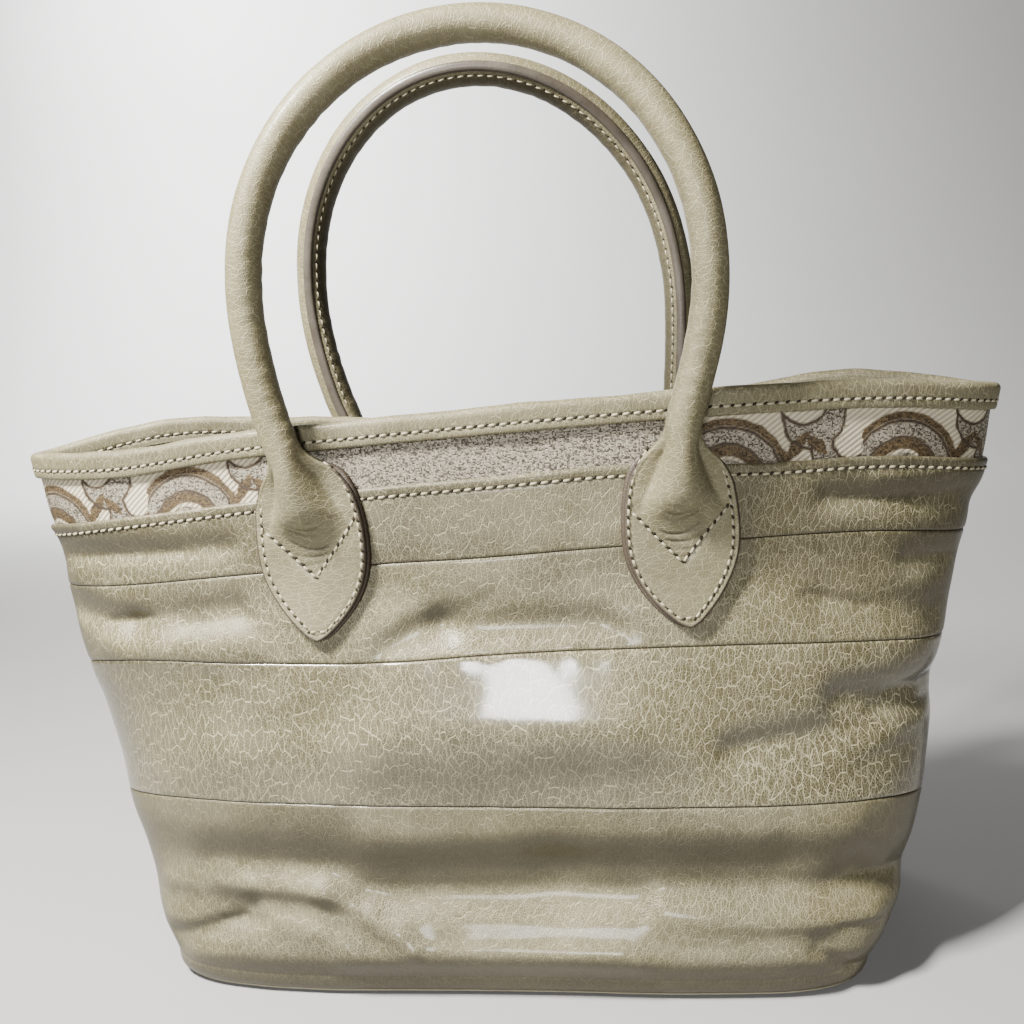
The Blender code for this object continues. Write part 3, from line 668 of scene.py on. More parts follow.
def finish_surface(tree, shader, colour, roughness, height, distance):
    """Feed colour and roughness, and a Bump node whose height is in the given distance."""
    plug(tree, shader.inputs["Base Color"], colour)
    plug(tree, shader.inputs["Roughness"], roughness)
    made = add_node(tree, "ShaderNodeBump")
    made.inputs["Strength"].default_value = 1.0
    made.inputs["Distance"].default_value = distance
    plug(tree, made.inputs["Height"], height)
    plug(tree, shader.inputs["Normal"], made.outputs["Normal"])

# %% [markdown]
# ## Crackled, glazed leather
# The hide was tumbled until its glaze broke into a net of fine pale lines. Distances to
# the edges of Voronoi cells draw such a net. The cells lie in the pieces' UV maps, which
# are in metres, so the net runs with each strip. Three nets are mixed: an even one, one
# of long creases across the strip and one of slanting creases. Noise bends the cells and
# slow masks let the lines come and go. The nets are also the height of the bump, so that
# highlights break up along them.

# %% Node group: crackle
crackle, g_in, g_out = new_group(
    "crackle",
    [("Vector", "Vector", (0, 0, 0)), ("Cells per Metre", "Float", 480.0), ("Long Creases", "Float", 0.6),
     ("Line Width", "Float", 0.10)],
    [("Lines", "Float"), ("Height", "Float"), ("Clouds", "Float")])


def net(stretch, turn, share):
    """Voronoi cells on the warped map, squeezed by stretch and turned; share of the scale."""
    mapped = add_node(crackle, "ShaderNodeMapping")
    mapped.inputs["Scale"].default_value = stretch
    mapped.inputs["Rotation"].default_value = (0.0, 0.0, turn)
    plug(crackle, mapped.inputs["Vector"], warped)
    scale = times(crackle, g_in.outputs["Cells per Metre"], share)
    return cells(crackle, mapped.outputs["Vector"], scale).outputs["Distance"]


def thin_line(distance, share):
    """1 on a cell's edge, 0 from a share of the line width inwards."""
    return ramp(crackle, distance, 0.0, times(crackle, g_in.outputs["Line Width"], share), 1.0, 0.0)


wander = noise(crackle, g_in.outputs["Vector"], 150.0, 4.0, 0.62)
centred = vector_calc(crackle, "SUBTRACT", wander.outputs["Color"], (0.5, 0.5, 0.5))
warped = vector_calc(crackle, "ADD", g_in.outputs["Vector"],
                     vector_calc(crackle, "SCALE", centred, scale=0.0026))
even = net((1.0, 1.0, 1.0), 0.0, 1.0)
upright = net((1.0, 0.36, 1.0), 0.0, 0.50)
slanting = net((1.0, 0.40, 1.0), math.radians(38), 0.46)
clouds = noise(crackle, g_in.outputs["Vector"], 30.0, 3.0, 0.6).outputs["Fac"]
spots = noise(crackle, g_in.outputs["Vector"], 260.0, 2.0, 0.5).outputs["Fac"]
broken = ramp(crackle, spots, 0.30, 0.62, 0.35, 1.0)
here = ramp(crackle, clouds, 0.38, 0.58, 0.25, 1.0)
there = ramp(crackle, clouds, 0.42, 0.60, 0.9, 0.0)
even_line = times(crackle, thin_line(even, 1.0), broken)
upright_line = times(crackle, thin_line(upright, 0.6), times(crackle, g_in.outputs["Long Creases"], here))
slant_line = times(crackle, thin_line(slanting, 0.55), times(crackle, g_in.outputs["Long Creases"], there))
long_line = most(crackle, upright_line, slant_line)
both = most(crackle, times(crackle, even_line, 0.55), long_line)
plug(crackle, g_out.inputs["Lines"], both)
pillow = plus(crackle, times(crackle, ramp(crackle, even, 0.0, 0.30), 0.30),
              minus(crackle, 1.0, times(crackle, long_line, 0.8)))
plug(crackle, g_out.inputs["Height"], plus(crackle, pillow, times(crackle, spots, 0.22)))
plug(crackle, g_out.inputs["Clouds"], clouds)
print("crackle group:", len(crackle.nodes), "nodes")

# %% [markdown]
# The leathers differ in hue, in the direction and size of their net, and in gloss. The
# seam attribute is 1 in a seam's valley, which is darkened for dirt and for painted shade,
# and the paint attribute is 1 on a cut edge, which is painted brown grey. The handles'
# wrinkle attribute is painted shade: it darkens the valleys of a leaf's gathers, the tongue
# above the V and the side of each roll turned to the bag's middle. Where a wall faces down,
# a further attribute is 1, and it is painted shade too: every part of a wall that faces
# down is darker.

# %% Leathers
BASE, SHADE, PALE = (0.084, 0.074, 0.039), (0.051, 0.045, 0.024), (0.450, 0.410, 0.262)
# The darkest hue is painted shade for down-facing walls and the handles' gathers and inner sides
PAINT, PAINTED_SHADE, SEAM_DIRT_AND_SHADE = (0.042, 0.032, 0.023, 1), (0.030, 0.025, 0.014, 1), (0.030, 0.026, 0.018, 1)
GLAZE = {"Coat_Roughness": 0.12, "Specular_IOR_Level": 0.42, "Specular_Tint": (1.0, 0.95, 0.85, 1.0)}


def leather(name, base, shade, offset, per_metre, long_creases, line_width, line_share,
            roughness, coat, relief=0.00011):
    """Leather with the crackle net over clouds of two hues."""
    made, tree, shader = new_material(name, Coat_Weight=coat, **GLAZE)
    place = vector_calc(tree, "ADD", add_node(tree, "ShaderNodeUVMap", uv_map="UVMap").outputs[0],
                        (*offset, 0.0))
    lines = use_group(tree, crackle, Vector=place, Cells_per_Metre=per_metre,
                      Long_Creases=long_creases, Line_Width=line_width)
    slow = noise(tree, place, 15.0, 3.0, 0.6).outputs["Fac"]
    hue = blend(tree, ramp(tree, slow, 0.32, 0.70), (*base, 1.0), (*shade, 1.0))
    hue = blend(tree, ramp(tree, lines.outputs["Clouds"], 0.40, 0.75, 0.0, 0.16), hue, (*PALE, 1.0))
    hue = blend(tree, times(tree, lines.outputs["Lines"], line_share), hue, (*PALE, 1.0))
    # Painted shade where a wall faces down, and where a handle's skin is gathered or turns to the bag's
    # middle
    hue = blend(tree, times(tree, attribute(tree, "hollow"), 0.72), hue, PAINTED_SHADE)
    hue = blend(tree, times(tree, attribute(tree, "wrinkle"), 0.75), hue, PAINTED_SHADE)
    # Dirt and painted shade darken the seams' valleys
    hue = blend(tree, ramp(tree, attribute(tree, "seam"), 0.35, 0.98, 0.0, 0.85), hue, SEAM_DIRT_AND_SHADE)
    hue = blend(tree, ramp(tree, attribute(tree, "paint"), 0.35, 0.65), hue, PAINT)
    rough = plus(tree, times(tree, lines.outputs["Lines"], 0.18),
                 ramp(tree, slow, 0.25, 0.75, roughness - 0.05, roughness + 0.08))
    finish_surface(tree, shader, hue, rough, lines.outputs["Height"], relief)
    return made


strip_leathers = {
    "strip_lower": leather("lower_strip_leather", BASE, SHADE, (3.1, 0.4), 1150.0, 0.60, 0.13, 0.60,
                           0.38, 0.18),
    "strip_middle": leather("middle_strip_leather", BASE, SHADE, (5.7, 1.9), 950.0, 1.0, 0.11, 0.86,
                            0.36, 0.90),
    "strip_upper": leather("upper_strip_leather", BASE, SHADE, (1.3, 2.6), 1020.0, 0.85, 0.12, 0.74,
                           0.38, 0.20),
    "strip_top": leather("top_strip_leather", BASE, SHADE, (2.2, 4.3), 980.0, 0.95, 0.11, 0.72,
                         0.40, 0.16),
}
binding_leather = leather("binding_leather", (0.106, 0.094, 0.050), (0.068, 0.060, 0.032), (4.4, 3.2),
                          1200.0, 1.0, 0.13, 0.46, 0.50, 0.05, relief=0.00010)
leaf_leather = leather("leaf_leather", (0.106, 0.094, 0.050), (0.072, 0.063, 0.034), (6.2, 0.7),
                       1100.0, 0.7, 0.12, 0.44, 0.50, 0.05, relief=0.00009)
lining, tree, shader = new_material("plain_inside", Roughness=0.8)
nap = object_noise(tree, 900.0, 3.0, 0.7)
finish_surface(tree, shader, blend(tree, nap, (0.115, 0.100, 0.075, 1), (0.175, 0.155, 0.120, 1)), 0.82,
               nap, 0.0001)

# %% [markdown]
# ## The four leather strips
# Each strip is one ring between two seam lines. Its outer face rolls in at both edges,
# as a seam does that is sewn inside out and turned, so two neighbours meet in a narrow
# valley. Short puckers run away from each seam, where the stitches draw the leather up.

# %% Strips
SEAM_ROLL, SEAM_SINK, SEAM_DARK = 0.0013, 0.0007, 0.0006
PUCKER_RISE, PUCKER_REACH = 0.00010, 0.0065
STITCH_GROOVE, GROOVE_HALF = 0.00030, 0.0007
TOP_STITCH_DOWN, TOP_EDGE_RISE = 0.0036, 0.00025
EDGE_ROWS = np.array((0.0, 0.00015, 0.0004, 0.0007, 0.0010, 0.0014, 0.0020))
ROW_STEP, INNER_ROWS = 0.0011, 25


def spread_rows(height):
    """Shares of a height, close together at both edges and even between."""
    middle = np.arange(EDGE_ROWS[-1] + ROW_STEP, height - EDGE_ROWS[-1] - ROW_STEP / 2, ROW_STEP)
    rows = np.concatenate((EDGE_ROWS, middle, height - EDGE_ROWS))
    return np.unique(np.round(rows / height, 5))


def strip_grid(low, high, shares):
    """Outer points of a strip and each point's distance to its lower and upper edge."""
    a = angles[None, :]
    bottom, top = level_height(low, a), level_height(high, a)
    z = bottom + shares[:, None] * (top - bottom)
    return wall(a, z), z - bottom, top - z


def rolled_edge(distance):
    """Quarter of an ellipse: sink deep at the edge, none SEAM_ROLL away from it."""
    share = np.clip(1 - distance / SEAM_ROLL, 0, 1)
    return SEAM_SINK * (1 - np.sqrt(1 - share ** 2))


def puckers(points, distance):
    """Ripples 5 mm apart along the seam, that fade within PUCKER_REACH."""
    ripple = hills(points, (0.0048, 0.0048, 0.022), 11)
    return PUCKER_RISE * ripple * np.exp(-(distance / PUCKER_REACH) ** 2)


def hollow(normals):
    """Painted shade: 1 where the wall faces down, as under a fold, and 0 where it faces up by 20 degrees."""
    return 1 - ease(normals[..., 2], -0.20, 0.34)


def make_strip(name, low, high, top_fold=False):
    """Outer face, rolled edges and inner face of a strip, joined into one closed ring."""
    height = float(np.mean(level_height(high, angles) - level_height(low, angles)))
    shares = spread_rows(height)
    if top_fold:
        fine = height - TOP_STITCH_DOWN + np.linspace(-2, 2, 9) * GROOVE_HALF * 0.8
        shares = np.unique(np.concatenate((shares, fine / height)))
    outer, under, over = strip_grid(low, high, shares)
    normals = grid_normals(outer)
    edge = np.minimum(under, over)
    drop = rolled_edge(under) + rolled_edge(over) * (1.6 if top_fold else 1.0)
    rise = puckers(outer, under) + puckers(outer, over) * (0.4 if top_fold else 1.0)
    if top_fold:
        rise = rise - STITCH_GROOVE * bump(over, TOP_STITCH_DOWN, GROOVE_HALF)
        rise = rise + TOP_EDGE_RISE * ease(over, TOP_STITCH_DOWN, 0.0006)
    outer = outer + normals * (rise - drop)[..., None]
    inner, _, _ = strip_grid(low, high, np.linspace(0, 1, INNER_ROWS))
    inner = inner - grid_normals(inner) * LEATHER
    points = np.concatenate((outer, inner[::-1]))
    rows = len(points)
    edge = under if top_fold else edge
    seam = np.concatenate((1 - ease(edge, 0.0, SEAM_DARK), np.zeros(inner.shape[:2])))
    slots = np.repeat(np.arange(rows) >= len(outer), COLUMNS).astype(int)
    # Painted shade on every part of the wall that faces down
    shade = np.concatenate((hollow(normals), np.zeros(inner.shape[:2])))
    piece = add_piece(name + "_leather", points, grid_faces(rows, COLUMNS, True, True),
                      [strip_leathers[name], lining], uv=surface_uv(points), slots=slots, seam=seam,
                      hollow=shade)
    print(name, "mean height %.1f mm," % (height * 1e3), rows * COLUMNS, "quads")
    return piece


for name, low, high in (("strip_middle", "seam_low", "seam_middle"),
                        ("strip_upper", "seam_middle", "seam_high"),
                        ("strip_top", "seam_high", "strip_edge")):
    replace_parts(make_strip(name, low, high, top_fold=name == "strip_top"), name)

# %% [markdown]
# The lowest strip also turns under the sole, so its grid starts on the ground side of
# the turn and only then climbs the wall.

# %% Lowest strip


def make_lowest():
    """Rows of the turn under the sole, the wall above it, and the inner face back down."""
    a = angles[None, :]
    along = np.array((0.0, 0.2, 0.35, 0.5, 0.6, 0.7, 0.78, 0.86, 0.93))[:, None]
    z = smooth(along, TURN["along"], TURN["height"]) * TURN_HEIGHT
    inset = smooth(along, TURN["along"], TURN["inset"]) * TURN_INSET
    turn = wall(a, np.broadcast_to(z, (len(along), COLUMNS)), inset)
    height = float(np.mean(level_height("seam_low", angles))) - TURN_HEIGHT
    shares = spread_rows(height)
    face, _, over = strip_grid("ground_turn", "seam_low", shares)
    outer = np.concatenate((turn, face))
    over = np.concatenate((np.full(turn.shape[:2], 1.0), over))
    normals = grid_normals(outer)
    inner = outer[::-3] - normals[::-3] * LEATHER
    outer = outer + normals * (puckers(outer, over) - rolled_edge(over))[..., None]
    outer[..., 2] = np.maximum(outer[..., 2], 0.0004)
    points = np.concatenate((outer, inner))
    seam = np.concatenate((1 - ease(over, 0.0, SEAM_DARK), np.zeros(inner.shape[:2])))
    slots = np.repeat(np.arange(len(points)) >= len(outer), COLUMNS).astype(int)
    # The last attribute is painted shade where the wall faces down
    piece = add_piece("strip_lower_leather", points, grid_faces(len(points), COLUMNS, True, True),
                      [strip_leathers["strip_lower"], lining], uv=surface_uv(points), slots=slots,
                      seam=seam, hollow=np.concatenate((hollow(normals), np.zeros(inner.shape[:2]))))
    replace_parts(piece, "strip_lower")
    print("strip_lower", len(points) * COLUMNS, "quads")


make_lowest()

# %% [markdown]
# ## Pale edge round the base
# Where the lowest strip meets the sole, the trimmed edge of the leather shows as a thin
# pale line just above the ground. A thin cord of leather carried round the turn stands
# for it.

# %% Base edge


def make_ring(name, path, radius, material, sides=8):
    """Round tube along a closed path: centre plus radius times (cos, sin) in its frame."""
    tangent = unit(np.roll(path, -1, axis=0) - np.roll(path, 1, axis=0))
    side = unit(np.cross(tangent, (0.0, 0.0, 1.0)))
    top = np.cross(side, tangent)
    turn = np.arange(sides) * 2 * math.pi / sides
    points = (path[:, None] + radius * (np.cos(turn)[None, :, None] * side[:, None]
                                        + np.sin(turn)[None, :, None] * top[:, None]))
    piece = add_piece(name, points, grid_faces(len(path), sides, True, True)[:, ::-1], [material],
                      uv=surface_uv(points)[..., ::-1])
    print(name, "%.1f mm thick" % (radius * 2e3))


edge_leather = leather("cut_edge_leather", (0.252, 0.227, 0.154), (0.203, 0.182, 0.122), (0.5, 6.1),
                       900.0, 0.3, 0.10, 0.2, 0.5, 0.1, relief=0.00006)
EDGE_UP, EDGE_IN, EDGE_RADIUS = 0.0016, 0.0022, 0.00055
edge_path = wall(angles, np.full(COLUMNS, EDGE_UP), EDGE_IN)
make_ring("base_edge", edge_path, EDGE_RADIUS, edge_leather)

# %% [markdown]
# ## Rim binding
# A strip of leather is folded over the raw top of the band and stitched through. Its
# section is an upside-down U with a round fold, and the stitch line draws a groove.

# %% Rim binding
BINDING_STITCH_UP, BINDING_GROOVE, BINDING_HEM = 0.0030, 0.00028, 0.0062
BINDING_RISES = np.array((0.0, 0.0003, 0.0008, 0.0014, 0.0019, 0.0023, 0.0027, 0.0030, 0.0033,
                          0.0037, 0.0041, 0.0047, 0.0055))
BINDING_INNER = FABRIC_SETBACK + FABRIC + BINDING_ROOM + BINDING_WALL


def binding_profile():
    """Rows of (offset from the wall, rise): outer leg, round fold, inner leg and hem."""
    radius = BINDING_INNER / 2
    room = BINDING_INNER - BINDING_WALL
    groove = BINDING_GROOVE * bump(BINDING_RISES, BINDING_STITCH_UP, 0.0006)
    trimmed = 0.00045 * np.exp(-BINDING_RISES / 0.0003)
    turn = np.linspace(0, math.pi, 15)
    outside = np.stack((-trimmed - groove, BINDING_RISES), -1)
    fold = np.stack((radius * np.cos(turn) - radius, radius * np.sin(turn) + BINDING_HEIGHT - radius), -1)
    inside = np.stack((groove - BINDING_INNER, BINDING_RISES), -1)[::-1]
    hem = ((-room, 0.0), (-room, BINDING_HEM), (-BINDING_WALL, BINDING_HEM), (-BINDING_WALL, 0.0))
    return np.concatenate((outside, fold, inside, hem))


def binding_point(angle, offset, rise):
    """Point of the binding: out from the wall by offset, up from the binding's foot by rise."""
    z = level_height("binding", angle) + rise
    return wall(angle, z, 0.0, offset)


def make_binding():
    """The U section carried round the rim, with slow ripples in its height and bulge."""
    profile = binding_profile()
    a = angles[None, :]
    base = binding_point(np.broadcast_to(a, (len(profile), COLUMNS)), profile[:, :1], profile[:, 1:])
    ripple = hills(base, (0.018, 0.018, 0.05), 21) * 0.00022
    ripple += hills(base, (0.006, 0.006, 0.02), 22) * 0.00008
    base[..., 2] += ripple * ease(profile[:, 1:], 0.0, 0.006)
    base += grid_normals(base) * (hills(base, (0.007, 0.007, 0.004), 23) * 0.00007)[..., None]
    piece = add_piece("rim_binding_leather", base, grid_faces(len(profile), COLUMNS, True, True),
                      [binding_leather], uv=surface_uv(base))
    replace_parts(piece, "rim_binding")
    print("binding", base.shape[0] * COLUMNS, "quads")


make_binding()

# %% [markdown]
# ## Woven band
# The band sits a little behind the leather, tucked under the top strip and into the
# binding. It is the only cloth here. Its UV map is in metres, along the band and up it,
# so the weave has its real size and follows the cloth round the bag.

# %% Woven band
BAND_ROWS, BAND_IN_BINDING, BAND_PUFF = 22, 0.60, 0.00030


def make_band(material):
    """Two offsets of the wall between the tucked edges, closed at top and bottom."""
    a = angles[None, :]
    bottom = level_height("strip_edge", a) - FABRIC_TUCK
    top = level_height("binding", a) + BINDING_HEIGHT * BAND_IN_BINDING
    share = np.linspace(0, 1, BAND_ROWS)[:, None]
    z = bottom + share * (top - bottom)
    outer = wall(a, z, 0.0, -FABRIC_SETBACK)
    puff = hills(outer, (0.016, 0.016, 0.014), 31) * BAND_PUFF
    outer = outer + grid_normals(outer) * (puff * np.sin(math.pi * share))[..., None]
    inner = wall(a, z, 0.0, -FABRIC_SETBACK - FABRIC)
    points = np.concatenate((outer, inner[::-1]))
    run = np.arange(COLUMNS) * girth / COLUMNS
    height = z - level_height("strip_edge", a)
    uv = np.stack((np.broadcast_to(run, z.shape), height), axis=-1)
    uv = np.concatenate((uv, uv[::-1]))
    piece = add_piece("woven_band", points, grid_faces(len(points), COLUMNS, True, True),
                      [material], uv=uv)
    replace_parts(piece, "fabric_band")

# %% [markdown]
# The cloth is a twill with a metallic thread. Long cream floats make slanting ribs, and
# the figures are woven in bronze and silver: nested arches, crescents and leaves in a
# repeat of their own. Between the front tabs the band is plain silver. Coordinates are
# snapped to single threads before a figure is tested, so every outline has the small
# steps that a loom makes.

# %% Sizes and hues of the weave
THREAD, RIB_PITCH, PLAIN_HALF = 0.00045, 0.0016, (0.056, 0.064)
# The repeat of the figures, in millimetres along the band and up it
REPEAT, ARCH_CENTRE, OUTLINE = 61.0, (15.0, -7.0), 1.2
MOONS = (((44.0, 14.0, 10.0), (40.5, 19.5, 8.6)), ((53.0, 1.0, 8.5), (57.0, 5.0, 6.6)))
LEAVES = (((38.0, 4.0), (7.0, 2.3), 0.9), ((45.5, 4.5), (5.2, 1.9), -0.7))
SILVER = ((0.034, 0.028, 0.020, 1), (0.360, 0.322, 0.250, 1))
BRONZE = ((0.022, 0.015, 0.007, 1), (0.150, 0.103, 0.052, 1))
DARK = ((0.018, 0.012, 0.008, 1), (0.075, 0.052, 0.032, 1))
front_column = int(np.argmin(np.abs(angles - 1.5 * math.pi)))
FRONT_RUN = front_column * girth / COLUMNS
print("middle of the front is %.0f mm along the band" % (FRONT_RUN * 1e3))

# %% Figures of the weave


def snap(tree, value):
    """Round a length in metres down to a whole thread, in millimetres."""
    return times(tree, calc(tree, "FLOOR", calc(tree, "DIVIDE", value, THREAD)), THREAD * 1000)


def white_noise(tree, vector):
    """A random value for every separate vector."""
    node = add_node(tree, "ShaderNodeTexWhiteNoise", noise_dimensions="2D")
    plug(tree, node.inputs["Vector"], vector)
    return node.outputs["Value"]


def inside(tree, value, limit, soft=0.35):
    """1 while value is under the limit."""
    return ramp(tree, value, limit - soft, limit + soft, 1.0, 0.0)


def ring(tree, value, middle, half):
    """1 while value is within half of the middle."""
    return inside(tree, calc(tree, "ABSOLUTE", minus(tree, value, middle)), half)


def distance_from(tree, u, v, centre):
    """Square root of the sum of the squared distances along and up the band."""
    du, dv = minus(tree, u, centre[0]), minus(tree, v, centre[1])
    return calc(tree, "SQRT", plus(tree, times(tree, du, du), times(tree, dv, dv)))


def moon(tree, u, v, disc, bite, grow=0.0):
    """A disc (u, v, radius) less another one; grow widens what is left on every side."""
    whole = inside(tree, distance_from(tree, u, v, disc), disc[2] + grow)
    bitten = inside(tree, distance_from(tree, u, v, bite), bite[2] - grow)
    return times(tree, whole, minus(tree, 1.0, bitten))


def leaf(tree, u, v, centre, half_sizes, turn):
    """Pointed oval: |along|^1.3 + |across|^1.3 in half sizes is under 1."""
    du, dv = minus(tree, u, centre[0]), minus(tree, v, centre[1])
    sides = []
    for a, b, half in zip((math.cos(turn), -math.sin(turn)), (math.sin(turn), math.cos(turn)), half_sizes):
        share = plus(tree, times(tree, du, a / half), times(tree, dv, b / half))
        sides.append(calc(tree, "POWER", calc(tree, "ABSOLUTE", share), 1.3))
    return inside(tree, plus(tree, *sides), 1.0, 0.06)


def figures(tree, u, v):
    """Masks of the bronze, silver and dark threads, from millimetres along a repeat and up."""
    far = distance_from(tree, u, v, ARCH_CENTRE)
    bronze_arch = most(tree, ring(tree, far, 11.0, 1.9), ring(tree, far, 20.5, 1.3))
    silver_arch = most(tree, inside(tree, far, 8.0), ring(tree, far, 15.8, 2.2))
    moons = most(tree, *(moon(tree, u, v, disc, bite) for disc, bite in MOONS))
    grown = most(tree, *(moon(tree, u, v, disc, bite, OUTLINE) for disc, bite in MOONS))
    leaves = most(tree, *(leaf(tree, u, v, *row) for row in LEAVES))
    arch_lines = most(tree, ring(tree, far, 13.2, 0.5), ring(tree, far, 18.6, 0.6))
    dark = most(tree, arch_lines, minus(tree, grown, moons))
    return most(tree, bronze_arch, leaves), most(tree, silver_arch, moons), dark

# %% Material: woven band


def woven_material():
    """Cream twill with figures in bronze, silver and dark thread, plain at mid front."""
    made, tree, shader = new_material("woven_twill", Specular_IOR_Level=0.35)
    parts = add_node(tree, "ShaderNodeSeparateXYZ")
    plug(tree, parts.inputs[0], add_node(tree, "ShaderNodeUVMap", uv_map="UVMap").outputs[0])
    run, rise = parts.outputs[0], parts.outputs[1]
    u, v = snap(tree, run), snap(tree, rise)
    spot = add_node(tree, "ShaderNodeCombineXYZ")
    plug(tree, spot.inputs[0], u)
    plug(tree, spot.inputs[1], v)
    pair = vector_calc(tree, "MULTIPLY", spot.outputs[0], (1 / (THREAD * 2400), 1 / (THREAD * 1000), 1.0))
    flicker = plus(tree, times(tree, white_noise(tree, spot.outputs[0]), 0.55),
                   times(tree, white_noise(tree, vector_calc(tree, "FLOOR", pair)), 0.45))
    wobble = minus(tree, noise(tree, spot.outputs[0], 0.22, 2.0).outputs["Fac"], 0.5)
    cell = calc(tree, "MODULO", plus(tree, u, times(tree, wobble, 2.5)), REPEAT)
    bronze, silver, dark = figures(tree, cell, v)
    mid_front = calc(tree, "ABSOLUTE", minus(tree, run, FRONT_RUN))
    plain = ramp(tree, mid_front, *PLAIN_HALF, 1.0, 0.0)
    bronze = times(tree, bronze, minus(tree, 1.0, plain))
    dark = times(tree, dark, minus(tree, 1.0, plain))
    silver = most(tree, silver, plain)
    slant = plus(tree, times(tree, run, 0.60 / RIB_PITCH), times(tree, rise, -0.80 / RIB_PITCH))
    rib = calc(tree, "ABSOLUTE", minus(tree, calc(tree, "FRACT", slant), 0.5))
    rib_height = ramp(tree, rib, 0.05, 0.42)
    threads, picks = (calc(tree, "ABSOLUTE", calc(tree, "SINE", times(tree, way, math.pi / THREAD)))
                      for way in (rise, run))
    # Painted shade: the cream twill is darker in the grooves between its slanting ribs
    hue = blend(tree, rib_height, (0.275, 0.240, 0.165, 1), (0.520, 0.465, 0.335, 1))
    hue = blend(tree, times(tree, flicker, 0.22), hue, (0.624, 0.560, 0.448, 1))
    hue = blend(tree, silver, hue, blend(tree, ramp(tree, flicker, 0.20, 0.80), *SILVER))
    hue = blend(tree, bronze, hue, blend(tree, ramp(tree, flicker, 0.10, 0.95), *BRONZE))
    hue = blend(tree, dark, hue, blend(tree, flicker, *DARK))
    figure = most(tree, most(tree, silver, bronze), dark)
    gleam = times(tree, figure, flicker)
    crossing = times(tree, times(tree, picks, flicker), 0.45)
    weave = plus(tree, times(tree, rib_height, minus(tree, 1.0, figure)),
                 plus(tree, times(tree, threads, 0.25), crossing))
    finish_surface(tree, shader, hue, minus(tree, 0.72, times(tree, gleam, 0.42)), weave, 0.00022)
    plug(tree, shader.inputs["Metallic"], times(tree, gleam, 0.5))
    return made


make_band(woven_material())

# %% [markdown]
# ## Handles
# Each handle is a cord core wrapped in leather. One grid follows its middle line from
# leaf tip to leaf tip: on the leaf the section is a thin flat blade, higher up the roll
# swells out of it, and over the arch the section is a circle. Blending the two sections
# keeps the leather in one skin, as the real piece is.

# %% Handle path
AROUND = 96
EDGE_ROUND = 0.0012
ROLL = HANDLE_DIAMETER / 2
STACK = GAP + TAB_THICKNESS + LEAF_CLEARANCE
GATHER_STEP, GATHER_DEEP = 2.4, 0.00050
V_TIP, V_END, V_HALF, PERIMETER_INSET = 0.315, 0.585, 0.0158, 0.0021
LEAF_ROWS, LEG_ROWS, ARCH_ROWS = 170, 70, 190
# Painted shade on each roll's side turned to the bag's middle, far stronger on the back handle
INNER_SHADE = {"front": 0.40, "back": 1.3}


def leg_middle(side, x, z):
    """Middle of the roll on a leg: on the face below the rim, then clear of it."""
    on_face = face_point(side, x, np.minimum(z, BODY_HEIGHT), STACK + ROLL)
    free = ease(z, BODY_HEIGHT, HANDLE_WIDEST_HEIGHT)
    y = on_face[..., 1] * (1 - free) + side * HANDLE_STANDOFF * free
    return np.stack(np.broadcast_arrays(on_face[..., 0], y, z), axis=-1)


def relaxed(path, free):
    """Even out the kinks where legs meet the arch, with a bell 8 mm wide along the run."""
    run = np.concatenate(([0], np.cumsum(np.linalg.norm(np.diff(path, axis=0), axis=1))))
    step = 0.001
    fine = np.arange(0, run[-1], step)
    line = np.stack([np.interp(fine, run, path[:, k]) for k in range(3)], -1)
    weight = bump(np.arange(-24, 25) * step, 0.0, 0.010)
    padded = np.pad(line, ((24, 24), (0, 0)), mode="edge")
    soft = np.stack([np.convolve(padded[:, k], weight / weight.sum(), "valid") for k in range(3)], -1)
    soft = np.stack([np.interp(run, fine, soft[:, k]) for k in range(3)], -1)
    end = np.minimum(run - run[LEAF_ROWS], run[-LEAF_ROWS] - run)
    share = (free * ease(end, 0.004, 0.020))[:, None]
    return soft * share + path * (1 - share)


def handle_frame(face):
    """Side of the face, then for every row its place, leaf share, 1 where free, and axes."""
    side = -1.0 if face == "front" else 1.0
    leaf = np.linspace(0, 1, LEAF_ROWS)
    foot = LEAF_FOOT_HEIGHT + leaf * LEAF_LENGTH
    leg = np.linspace(foot[-1], HANDLE_WIDEST_HEIGHT, LEG_ROWS)[1:-1]
    z = np.concatenate((foot, leg))
    share = np.concatenate((leaf, np.full(len(leg), 1.0)))
    left = leg_middle(side, -leg_reach(face + "_left", z), z)
    right_leg = leg_middle(side, leg_reach(face + "_right", z), z)
    turn = np.linspace(math.pi, 0.0, ARCH_ROWS)
    x0 = leg_reach(face + "_left", HANDLE_WIDEST_HEIGHT)
    x1 = leg_reach(face + "_right", HANDLE_WIDEST_HEIGHT)
    rise = np.sin(turn)
    x = (x1 - x0) / 2 + (x1 + x0) / 2 * np.cos(turn) + TOP_LEAN[face] * HANDLE_SPAN / 2 * rise
    arch_z = HANDLE_WIDEST_HEIGHT + (HANDLE_HEIGHT - ROLL - HANDLE_WIDEST_HEIGHT) * rise
    y = side * (HANDLE_STANDOFF + (HANDLE_TOP_STANDOFF - HANDLE_STANDOFF) * rise ** 2)
    path = np.concatenate((left, np.stack((x, y, arch_z), axis=-1), right_leg[::-1]))
    along = np.concatenate((share, np.ones(ARCH_ROWS), share[::-1]))
    free = np.concatenate((np.zeros(LEAF_ROWS), np.ones(len(leg) * 2 + ARCH_ROWS), np.zeros(LEAF_ROWS)))
    path = relaxed(path, free)
    tangent = unit(np.gradient(path, axis=0))
    facing = np.array((0.0, side, 0.0))
    normal = unit(facing - tangent * (tangent @ facing)[:, None])
    return side, path, along, free, np.cross(tangent, normal), normal

# %% [markdown]
# A leaf is a thin blade with rounded edges, and its face is sunk along both rows of
# stitches. Above the stitched V it swells into a tongue that grows into the roll, and
# the skin there is gathered into short cross wrinkles.

# %% Leaf section


